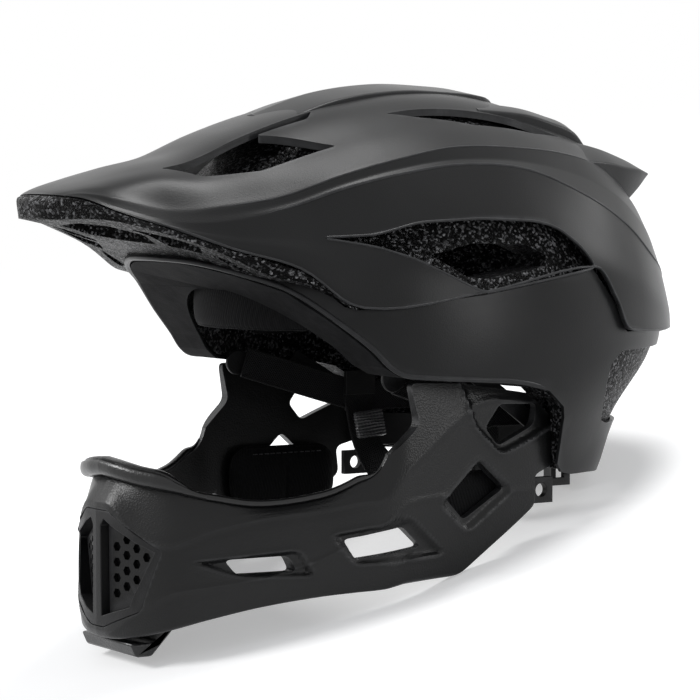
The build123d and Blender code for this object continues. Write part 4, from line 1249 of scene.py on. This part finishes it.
def shellLips():
    # rolled lips: along the crease and the ledge, round the side vents and along the seam
    shape = bmesh.new()
    sink, taper = lipLooks["sink"], lipLooks["taper"]
    for sign in (1, -1):
        for number, radius, ends in (
            (2, lipLooks["crease"], (-0.7, 0.62)), (4, lipLooks["ledge"], (-0.62, 0.95)),
        ):
            start, end = (shellKnot(share) for share in ends)
            line = []
            for k in range(lipLooks["steps"] + 1):
                y = start + (end - start) * k / lipLooks["steps"]
                x, z = lineAt(shellKnots, shellLines[number], y)
                line.append(Vector(((x - 0.9 * sink) * sign, y, z - 0.9 * sink)))
            tubeMesh(shape, line, radius, 8, False, taper)
        vent = sampledAlong(sideVentLine + sideVentLine[:1], 160)[:-1]
        seam = [
            (y, z + lipLooks["seamLift"]) for y, z in sampledAlong(seamCurve, 260)
            if lipLooks["seamFrom"] < y < lipLooks["seamTo"]
        ]
        for line, radius, closed in ((vent, lipLooks["vent"], True), (seam, lipLooks["seam"], False)):
            spots = [Vector(((shellSide(y, z) - sink) * sign, y, z)) for y, z in line]
            tubeMesh(shape, spots, radius, 8, closed, 0 if closed else taper)
    return finishShape(shape, bpy.data.meshes.new("shellLips"))


def upperShellPiece():
    reach, below = shellForm["reach"], shellForm["below"]
    underSeam = seamCurve + [(seamCurve[-1][0], below), (seamCurve[0][0], below)]
    cutters = [
        cutterMesh("underSeam", underSeam, -reach, reach, "X"),
        cutterMesh("sideVent", sideVentLine, -reach, reach, "X"),
    ]
    for sign in (1, -1):
        for k, shares in enumerate((frontVentShares, topVentShares)):
            outline = roundedOutline(planPoints(shares, sign), shellForm["ventCorner"])
            vent = cutterMesh("topVent%d" % k, outline, shellForm["ventFrom"], shellForm["ventTo"], "Z")
            cutters.append(vent)
    mesh = cutMesh("crownShell", upperShellMesh(), cutters)
    addLooseMesh(mesh, shellLips())
    for rows, whole in ((bandRows, True), (ribRows, False), (spoilerRows, True)):
        for sign in (1,) if whole else (1, -1):
            addLooseMesh(mesh, stripMesh(rows, whole, sign))
    mesh.set_sharp_from_angle(angle=math.radians(shellForm["sharp"]))
    newPiece("crownShell", mesh, "shell", ["upper_shell"])


def stripMesh(rows, whole, sign):
    # a raised band or rib: closed rounded sections, smooth along
    knots = [shellKnot(y) for y, points in rows]
    lines = list(zip(*(points for y, points in rows)))
    sections = []
    for k in range(shellForm["stripSteps"] + 1):
        y = knots[0] + (knots[-1] - knots[0]) * k / shellForm["stripSteps"]
        outline = [lineAt(knots, line, y) for line in lines]
        if whole:
            outline += [(-x, z) for x, z in reversed(outline[1:-1])]
        section = roundedOutline(outline, shellForm["stripCorner"], 3)
        sections.append([(x * sign, y, z) for x, z in section])
    return loftMesh("strip", [sections])


upperShellPiece()
print("upper shell made")


# Foam: recessed channels under the peak, each an outline in plan and the height of its top
channelOutlines = [
    ([(5, -177), (17, -175.5), (29, -166), (36, -152), (27, -141), (14, -150), (5, -163)], 69),
    ([(37, -160), (47, -148), (54, -135), (46, -128), (33, -138), (38, -150)], 63),
    ([(50.5, -127), (57, -122), (61, -111), (53, -113)], 53),
]
channelLooks = {"corner": 2.0, "from": 30}


def crownFoamPiece():
    piece = dressedCopy("upper_foam", "crownFoam", "foam")
    cutters = []
    for sign in (1, -1):
        for k, (outline, top) in enumerate(channelOutlines):
            points = roundedOutline([(x * sign, y) for x, y in outline], channelLooks["corner"])
            cutters.append(cutterMesh("channel%d" % k, points, channelLooks["from"], top, "Z"))
    old = piece.data
    piece.data = cutMesh("crownFoam", old, cutters, sharpAngle)
    bpy.data.meshes.remove(old)
    piece.data.materials.clear()
    piece.data.materials.append(finishes["foam"])


crownFoamPiece()


# Covered are the faces that turn down and lie in front of "rear" and above "low", in upright
# millimetres; the cover's lift and thickness are in metres
rimShadeCoverLooks = {
    "tilt": 0.03, "down": -0.25, "rear": 10, "low": -12, "lift": 0.0008, "thick": -0.0012,
}


def rimShadeCoverPiece(looks):
    # thin smooth cover over the foam's downward edge round the face, a real trim given a near-black,
    # barely reflective finish that paints in the shade under the rim
    mesh = frame["nodes"]["lower_foam"].data.copy()
    mesh.name = "rimShadeCover"
    upright = stance.inverted()
    turn = upright.to_3x3()
    shape = shapeOf(mesh)
    bmesh.ops.remove_doubles(shape, verts=shape.verts, dist=mergeGap)
    spare = []
    for face in shape.faces:
        normal = turn @ face.normal
        spot = upright @ face.calc_center_median() * 1000
        level = abs(normal.x) <= looks["tilt"] and normal.z <= looks["down"]
        if not level or spot.y > looks["rear"] or spot.z < looks["low"]:
            spare.append(face)
    bmesh.ops.delete(shape, geom=spare, context="FACES")
    for vert in shape.verts:
        vert.co += vert.normal * looks["lift"]
    bmesh.ops.solidify(shape, geom=list(shape.faces), thickness=looks["thick"])
    finishShape(shape, mesh, False)
    mesh.set_sharp_from_angle(angle=math.radians(sharpAngle))
    newPiece("rimShadeCover", mesh, "shadeCover", [], "helmet")


rimShadeCoverPiece(rimShadeCoverLooks)

# Rolled rim round the face edge of the lower shell: its outer form is an oval at each height,
# given as height, half width, reach to the front and reach to the rear
planRows = [
    (-0.52, 0.87, 0.9, 0.695), (-0.39, 0.93, 0.94, 0.745), (-0.26, 0.966, 0.97, 0.79),
    (-0.13, 0.99, 0.99, 0.88), (0, 1, 1, 0.968), (0.16, 0.99, 0.99, 0.985),
    (0.34, 0.951, 0.952, 0.952), (0.5, 0.881, 0.888, 0.888),
]
faceRimShares = [
    (-0.747, 0.383), (-0.684, 0.365), (-0.653, 0.355), (-0.589, 0.315), (-0.511, 0.258),
    (-0.411, 0.129), (-0.353, 0.048), (-0.321, -0.008), (-0.289, -0.04), (-0.237, -0.052),
    (-0.105, -0.065), (0, -0.077), (0.141, -0.113), (0.218, -0.177), (0.229, -0.218),
]
faceRimLooks = {
    "radius": 1.25, "sink": 0.55, "lift": 0.7, "taper": 14, "from": -104, "to": 104, "steps": 240,
    "tries": 12,
}


def sideSpot(z):
    # the oval of the lower shell's outer form at a height: half width, reach and middle
    knots = [row[0] * headSize["crown"] for row in planRows]
    width, front, back = (hermite(knots, [row[k] for row in planRows], z) for k in (1, 2, 3))
    reach = (front * headSize["brow"] + back * headSize["rear"]) / 2
    middle = (back * headSize["rear"] - front * headSize["brow"]) / 2 + headSize["offset"]
    return width * headSize["halfWidth"], reach, middle


def faceRimPiece(looks):
    rim = sorted(sidePoints(faceRimShares))
    knots = [y for y, z in rim]
    heights = [z for y, z in rim]
    line = []
    for k in range(looks["steps"] + 1):
        turn = math.radians(looks["from"] + (looks["to"] - looks["from"]) * k / looks["steps"])
        # the rim's height and its oval depend on each other, so they are found by trying
        y, z = -130.0, 44.0
        for _ in range(looks["tries"]):
            width, reach, middle = sideSpot(z)
            y = middle - (reach - looks["sink"]) * math.cos(turn)
            z = 0.5 * z + 0.5 * hermite(knots, heights, max(y, knots[0]))
        line.append(Vector(((width - looks["sink"]) * math.sin(turn), y, z + looks["lift"])))
    shape = bmesh.new()
    tubeMesh(shape, line, looks["radius"], 12, False, looks["taper"])
    mesh = finishShape(shape, bpy.data.meshes.new("faceRim"))
    newPiece("faceRim", mesh, "shell", [], "helmet")


faceRimPiece(faceRimLooks)
print("foam and face rim made")


# Chin guard: one wall from ear to ear, with pressed pockets round its windows. Each row has a
# place in plan, the top, the two ridges and the bottom, as shares of jawSize
jawRows = [
    (0.904, 0.324, -0.065, -0.161, -0.484, -0.806),
    (0.985, 0.155, -0.065, -0.161, -0.484, -0.806),
    (1, -0.063, -0.048, -0.161, -0.484, -0.782),
    (0.991, -0.291, -0.048, -0.371, -0.5, -0.794),
    (0.972, -0.361, -0.347, -0.473, -0.565, -0.81),
    (0.915, -0.449, -0.427, -0.496, -0.629, -0.819),
    (0.842, -0.538, -0.476, -0.52, -0.694, -0.831),
    (0.718, -0.69, -0.502, -0.548, -0.758, -0.863),
    (0.599, -0.81, -0.48, -0.589, -0.786, -0.903),
    (0.475, -0.905, -0.452, -0.645, -0.815, -0.944),
    (0.294, -0.965, -0.435, -0.613, -0.903, -0.98),
    (0.136, -0.991, -0.419, -0.516, -0.968, -0.996),
    (0, -0.997, -0.411, -0.508, -0.976, -1),
]
jawSize = {"halfWidth": 88.5, "chin": 158.0, "drop": 124.0}
jawForm = {
    "along": 150, "across": 84, "corner": 4.5, "ridge": 0.55, "ridgeShare": 0.8, "pocket": 2.3,
    "slope": 2.4, "start": 0.2, "crest": 0.7, "crests": (0.35, 0.35, 0.35, 1.0), "crestWidth": 1.1,
    "crestAt": 0.9, "crestReach": 5, "reach": 140, "portCorner": 3.5, "windowCorner": 2.6,
    "mouthCorner": 2.0, "mouthFrom": -220, "mouthTo": -127, "sharp": 34,
}


def jawPoint(y, z):
    return (y * (jawSize["chin"] if y < 0 else headSize["rear"]), z * jawSize["drop"])


jawPlaces = [
    (x * jawSize["halfWidth"], jawPoint(y, 0)[0]) + tuple(z * jawSize["drop"] for z in rest)
    for x, y, *rest in jawRows
]
jawKnots = pathLengths([Vector(p[:2]) for p in jawPlaces])


def jawAt(length):
    # place on the wall, its outward direction, and the heights of its four lines
    columns = list(zip(*jawPlaces))
    values = [hermite(jawKnots, column, length) for column in columns]
    ahead, back = (
        [hermite(jawKnots, column, min(max(length + step, 0), jawKnots[-1])) for column in columns[:2]]
        for step in (0.5, -0.5)
    )
    along = Vector((ahead[0] - back[0], ahead[1] - back[1], 0)).normalized()
    if length > jawKnots[-1] - 0.6:
        along = Vector((-1, 0, 0))
    return Vector((values[0], values[1], 0)), Vector((-along.y, along.x, 0)), values[2:]


def frontShare(spot):
    # 0 beside the head, 1 at the chin
    return min(max(-spot.y / jawSize["chin"], 0), 1)


# The wall's section: depths of its top edge, its heel and its inside beside the head, and what is
# added to each of them at the chin
jawWall = {
    "edge": (3.0, 4.0), "heel": (4.0, -3.0), "wall": (6.0, 3.0), "lip": 0.8, "lipDrop": 0.5, "foot": 1.5,
}


def jawProfile(spot, heights):
    # outer and inner line of the wall's section, as distances outwards and heights
    share = frontShare(spot)
    top, upper, lower, bottom = heights
    edge, heel, wall = (jawWall[key][0] + jawWall[key][1] * share for key in ("edge", "heel", "wall"))
    corner, lip, drop = jawForm["corner"], jawWall["lip"], jawWall["lipDrop"]
    outer = [(-edge - lip, top), (-edge, top - drop)]
    outer += roundedCorner((-edge, top), (0, upper), (0, lower), corner)
    outer += roundedCorner((0, upper), (0, lower), (-heel, bottom), corner)
    outer += [(-heel, bottom + drop), (-heel - lip, bottom)]
    return outer, [(-wall, top), (-wall - jawWall["foot"], bottom)]


def insideDistance(outline, y, z):
    # distance to the outline, positive inside it
    nearest = 1e9
    inside = False
    for k, (y1, z1) in enumerate(outline):
        y2, z2 = outline[(k + 1) % len(outline)]
        dy, dz = y2 - y1, z2 - z1
        t = max(0.0, min(1.0, ((y - y1) * dy + (z - z1) * dz) / (dy * dy + dz * dz)))
        nearest = min(nearest, math.hypot(y - y1 - t * dy, z - z1 - t * dz))
        if (z1 > z) != (z2 > z) and y < dy * (z - z1) / dz + y1:
            inside = not inside
    return nearest if inside else -nearest


def softStep(value):
    value = max(0.0, min(1.0, value))
    return value * value * (3 - 2 * value)


pocketOutlines = [
    roundedOutline(outline, 3.0) for outline in (
        [(-135.9, -86.7), (-94.4, -81.7), (-87.1, -93.4), (-118.7, -93.3)],
        [(-80.8, -75.3), (-45.7, -69.2), (-26.7, -86.2), (-70.2, -88.9)],
        [(-29.9, -63.6), (-9.1, -44.1), (8.8, -59.2), (-14.6, -76.8)],
        [(-18.5, -8), (-11.2, -29.4), (2.8, -42.3), (38.9, -29.4), (50, -4), (20, 2), (-18, 2)],
    )
]


def jawRelief(y, z):
    # how far the outer face moves outwards at a place in side view: in within a pocket, out round it
    relief = 0.0
    for outline, crest in zip(pocketOutlines, jawForm["crests"]):
        distance = insideDistance(outline, y, z)
        if distance < -jawForm["crestReach"]:
            continue
        relief -= jawForm["pocket"] * softStep(distance / jawForm["slope"] + jawForm["start"])
        bell = bellAt(distance + jawForm["crestAt"], jawForm["crestWidth"])
        relief += jawForm["crest"] * crest * bell
    return relief


def jawMesh():
    sides = ([], [])
    for k in range(jawForm["along"] + 1):
        spot, out, heights = jawAt(jawKnots[-1] * k / jawForm["along"])
        for side, profile in zip(sides, jawProfile(spot, heights)):
            line = []
            for o, z in sampledAlong(profile, jawForm["across"]):
                base = spot + out * o + Vector((0, 0, z))
                if side is sides[0]:
                    ridge = bellAt(z - heights[1], jawForm["crestWidth"])
                    lower = bellAt(z - heights[2], jawForm["crestWidth"])
                    ridge += jawForm["ridgeShare"] * lower
                    base += out * (jawRelief(base.y, z) + jawForm["ridge"] * ridge)
                line.append(base)
            side.append(line)
    outer, inner = (side + mirrored(reversed(side[:-1])) for side in sides)
    return skinMesh("jawGuard", outer, inner)


jawCut = [
    (-0.367, -0.353), (-0.256, -0.222), (-0.282, -0.073), (-0.114, -0.081), (0.137, -0.127),
    (0.285, -0.247), (0.277, -0.387), (0.155, -0.431), (0.165, -0.54), (-0.104, -0.77),
    (-0.139, -0.783), (-0.19, -0.787), (-0.19, -0.887), (0.42, -0.887), (0.42, 0.08),
    (-0.367, 0.08),
]
jawWindows = [
    [(-0.777, -0.69), (-0.614, -0.679), (-0.594, -0.739), (-0.744, -0.749)],
    [(-0.477, -0.626), (-0.309, -0.586), (-0.244, -0.664), (-0.441, -0.701)],
    [(-0.168, -0.494), (-0.06, -0.363), (0.039, -0.469), (-0.102, -0.579)],
    [(-0.031, -0.247), (0.024, -0.162), (0.179, -0.17), (0.163, -0.247), (0.016, -0.316)],
]
mouthOutline = [(0.113, -0.532), (0.441, -0.661), (0.328, -0.887), (0.068, -0.96)]


def jawPiece(form):
    reach = form["reach"]
    port = roundedOutline([jawPoint(*p) for p in jawCut], form["portCorner"])
    cutters = [cutterMesh("portCut", port, -reach, reach, "X")]
    for k, shares in enumerate(jawWindows):
        outline = roundedOutline([jawPoint(*p) for p in shares], form["windowCorner"])
        cutters.append(cutterMesh("window%d" % k, outline, -reach, reach, "X"))
    half = [(x * jawSize["halfWidth"], z * jawSize["drop"]) for x, z in mouthOutline]
    mouth = roundedOutline(half + [(-x, z) for x, z in reversed(half)], form["mouthCorner"])
    cutters.append(cutterMesh("mouthCut", mouth, form["mouthFrom"], form["mouthTo"], "Y"))
    mesh = cutMesh("jawGuard", jawMesh(), cutters, form["sharp"])
    newPiece("jawGuard", mesh, "jaw", ["chin_guard"])


def rollMesh(name, start, end, looks, both):
    # rounded soft strip along the top edge of the wall, between two places on it, either a single
    # strip across the middle or one on each side
    count, rings = looks["along"], looks["rings"]
    rows = []
    for k in range(count + 1):
        length = start + (end - start) * k / count
        gap = length - start if both else min(length - start, end - length)
        full = 0.25 + 0.75 * softStep(gap / looks["taper"])
        spot, out, heights = jawAt(length)
        middle = -(looks["set"] + looks["setFront"] * frontShare(spot))
        rise = heights[0] + looks["rise"] * full
        row = []
        for n in range(rings):
            c, s = around(n, rings)
            turn = 2 * math.pi * n / rings
            o = squared(c, looks["power"]) * looks["wide"] * full
            z = squared(s, looks["power"]) * looks["tall"] * full
            size = 1 - looks["groove"] * full * bellAt(turn - looks["grooveAt"], looks["grooveWidth"])
            row.append(spot + out * (middle + o * size) + Vector((0, 0, rise + z * size)))
        rows.append(row)
    if both:
        strips = [rows + mirrored(reversed(rows[:-1]))]
    else:
        strips = [rows, mirrored(rows)]
    mesh = loftMesh(name, strips)
    mesh.set_sharp_from_angle(angle=math.radians(looks["sharp"]))
    return mesh


jawPiece(jawForm)


shadeSheetLooks = {"size": 0.96, "set": 1.2, "thin": 0.6, "towards": (0, -60, -90)}


def shadeSheetPiece(name, node, looks):
    # thin near-black sheet behind a mouth vent screen, painted shade that makes its holes look dark into
    # the helmet: the screen's outline moved in behind it
    shape = shapeOf(frame["nodes"][node].data)
    widest = max(shape.faces, key=lambda face: face.calc_area())
    inward = widest.normal.copy()
    heart = sum((vert.co for vert in shape.verts), Vector()) / len(shape.verts)
    if inward.dot(place(*looks["towards"]) - heart) < 0:
        inward = -inward
    bmesh.ops.convex_hull(shape, input=list(shape.verts))
    loose = [vert for vert in shape.verts if not vert.link_faces]
    bmesh.ops.delete(shape, geom=loose, context="VERTS")
    depths = [vert.co.dot(inward) for vert in shape.verts]
    front, thick = min(depths), max(depths) - min(depths)
    for vert in shape.verts:
        flat = (vert.co.dot(inward) - front) / thick
        deep = thick * (looks["set"] - looks["thin"] * flat)
        vert.co = heart + (vert.co - heart) * looks["size"] + inward * deep
    hull = bmesh.ops.convex_hull(shape, input=list(shape.verts))
    left = hull["geom_interior"] + hull["geom_unused"]
    spare = [item for item in left if isinstance(item, bmesh.types.BMVert)]
    bmesh.ops.delete(shape, geom=spare, context="VERTS")
    mesh = finishShape(shape, bpy.data.meshes.new(name), False)
    newPiece(name, mesh, "shadeCover", [], "chin_guard")


for side in ("left", "right"):
    shadeSheetPiece("mouthShadeSheet" + side.capitalize(), "mouth_vent_screen_" + side, shadeSheetLooks)
rollStyle = {"rings": 28, "power": 0.8, "grooveAt": 0.9, "grooveWidth": 0.16, "sharp": 50}
bumperLooks = {
    **rollStyle, "along": 60, "wide": 4.6, "tall": 4.4, "groove": 0.3, "taper": 26.0,
    "set": 4.5, "setFront": 1.2, "rise": 4.0,
}
edgeRollLooks = {
    **rollStyle, "along": 70, "wide": 1.9, "tall": 1.6, "groove": 0.12, "taper": 12.0,
    "set": 3.9, "setFront": 3.2, "rise": 0.9,
}
bumper = rollMesh("lipBumper", jawKnots[9] - 16, jawKnots[12], bumperLooks, True)
newPiece("lipBumper", bumper, "rubber", ["lip_bumper"])
edgeRoll = rollMesh("jawEdgeTrim", jawKnots[4] + 2, jawKnots[9] + 4, edgeRollLooks, False)
newPiece("jawEdgeTrim", edgeRoll, "rubber", ["jaw_edge_trim"])
print("chin guard made")


# Camera at the photograph's angle
cameraPlan = {
    "azimuth": 57.0, "elevation": 3.5, "distance": 1400.0, "pixelsPerMm": 2.1, "pictureSize": 700,
    "middle": (388.0, 350.0),
}


def makeCamera(plan):
    turn, rise = math.radians(plan["azimuth"]), math.radians(plan["elevation"])
    back = Vector((math.sin(turn) * math.cos(rise), -math.cos(turn) * math.cos(rise), math.sin(rise)))
    right = Vector((math.cos(turn), math.sin(turn), 0))
    up = back.cross(right)
    # the head's centre shows at the place called middle in the picture
    across, down = ((value - plan["pictureSize"] / 2) / plan["pixelsPerMm"] for value in plan["middle"])
    spot = back * plan["distance"] - (right * across - up * down)
    data = bpy.data.cameras.new("photoCamera")
    data.lens = data.sensor_width * plan["pixelsPerMm"] * plan["distance"] / plan["pictureSize"]
    camera = addObject("photoCamera", data)
    facing = Matrix((right, up, back)).transposed().to_4x4()
    camera.matrix_world = stance @ Matrix.Translation(spot / 1000) @ facing
    bpy.context.scene.camera = camera


makeCamera(cameraPlan)

# Pale floor that fades to white away from the object, and a world that is white to the camera
# and in reflections, and a softer grey to the light
floorLooks = {
    "half": 3.0, "colour": 0.8, "near": 0.3, "far": 1.1, "lift": 0.36,
    "sky": (0.94, 0.96, 1.0, 1), "skyStrength": 0.4,
}


def seenRays(tree):
    # 1 for rays from the camera, from mirrors and through glass, and 0 for the others
    path = addNode(tree, "ShaderNodeLightPath").outputs
    seen = mathOf(tree, "MAXIMUM", path["Is Camera Ray"], path["Is Glossy Ray"])
    return mathOf(tree, "MAXIMUM", seen, path["Is Transmission Ray"])


def floorMaterial(looks):
    material, tree, shader = startMaterial("paleFloor", 0.9, 0.0)
    where = addNode(tree, "ShaderNodeTexCoord").outputs["Object"]
    cloud = addNode(tree, "ShaderNodeTexNoise", {"Scale": 3.0}, {"Vector": where})
    tone = looks["colour"]
    pale = mixColour(tree, cloud.outputs["Fac"], (tone * 0.98,) * 3, (tone,) * 3)
    away = addNode(tree, "ShaderNodeVectorMath", None, {0: where}, operation="LENGTH")
    fade = addNode(
        tree, "ShaderNodeMapRange", {"From Min": looks["near"], "From Max": looks["far"]},
        {"Value": away.outputs["Value"]}, interpolation_type="SMOOTHSTEP",
    ).outputs["Result"]
    tree.links.new(mixColour(tree, fade, pale, (0.0, 0.0, 0.0)), shader.inputs["Base Color"])
    glow = mathOf(tree, "MULTIPLY", rangeOf(tree, fade, looks["lift"], 1.0), seenRays(tree))
    shader.inputs["Emission Color"].default_value = (1, 1, 1, 1)
    tree.links.new(glow, shader.inputs["Emission Strength"])
    return material


def makeStage(looks):
    half = looks["half"]
    corners = [(-half, -half, 0), (half, -half, 0), (half, half, 0), (-half, half, 0)]
    floor = addObject("floor", meshFrom("floor", corners, [(0, 1, 2, 3)]))
    floor.data.materials.append(floorMaterial(looks))
    world = bpy.data.worlds.new("studio")
    world.use_nodes = True
    tree = world.node_tree
    tree.nodes.clear()
    sky = {"Color": looks["sky"], "Strength": looks["skyStrength"]}
    soft = addNode(tree, "ShaderNodeBackground", sky)
    white = addNode(tree, "ShaderNodeBackground", {"Color": (1, 1, 1, 1), "Strength": 1.0})
    mixed = addNode(
        tree, "ShaderNodeMixShader", None,
        {0: seenRays(tree), 1: soft.outputs[0], 2: white.outputs[0]},
    )
    addNode(tree, "ShaderNodeOutputWorld", None, {"Surface": mixed.outputs[0]})
    bpy.context.scene.world = world


makeStage(floorLooks)

lampAim = Vector((0, 0, 0.12))
lampPlans = [
    # name, place, size, power
    ("keyLamp", (-0.85, -0.94, 1.18), 0.6, 17.0),
    ("topLamp", (0.05, 0.68, 1.54), 0.6, 17.0),
    ("backLamp", (0.43, 1.62, 0.41), 0.5, 4.0),
    ("sideLamp", (1.4, 0.6, 0.25), 0.5, 3.0),
]
for name, spot, size, power in lampPlans:
    data = bpy.data.lights.new(name, "AREA")
    data.shape = "DISK"
    data.size = size
    data.energy = power
    lamp = addObject(name, data)
    lamp.location = spot
    lamp.rotation_euler = (lampAim - Vector(spot)).to_track_quat("-Z", "Y").to_euler()
bpy.context.scene.view_settings.view_transform = "Standard"
print("stage and lamps made")
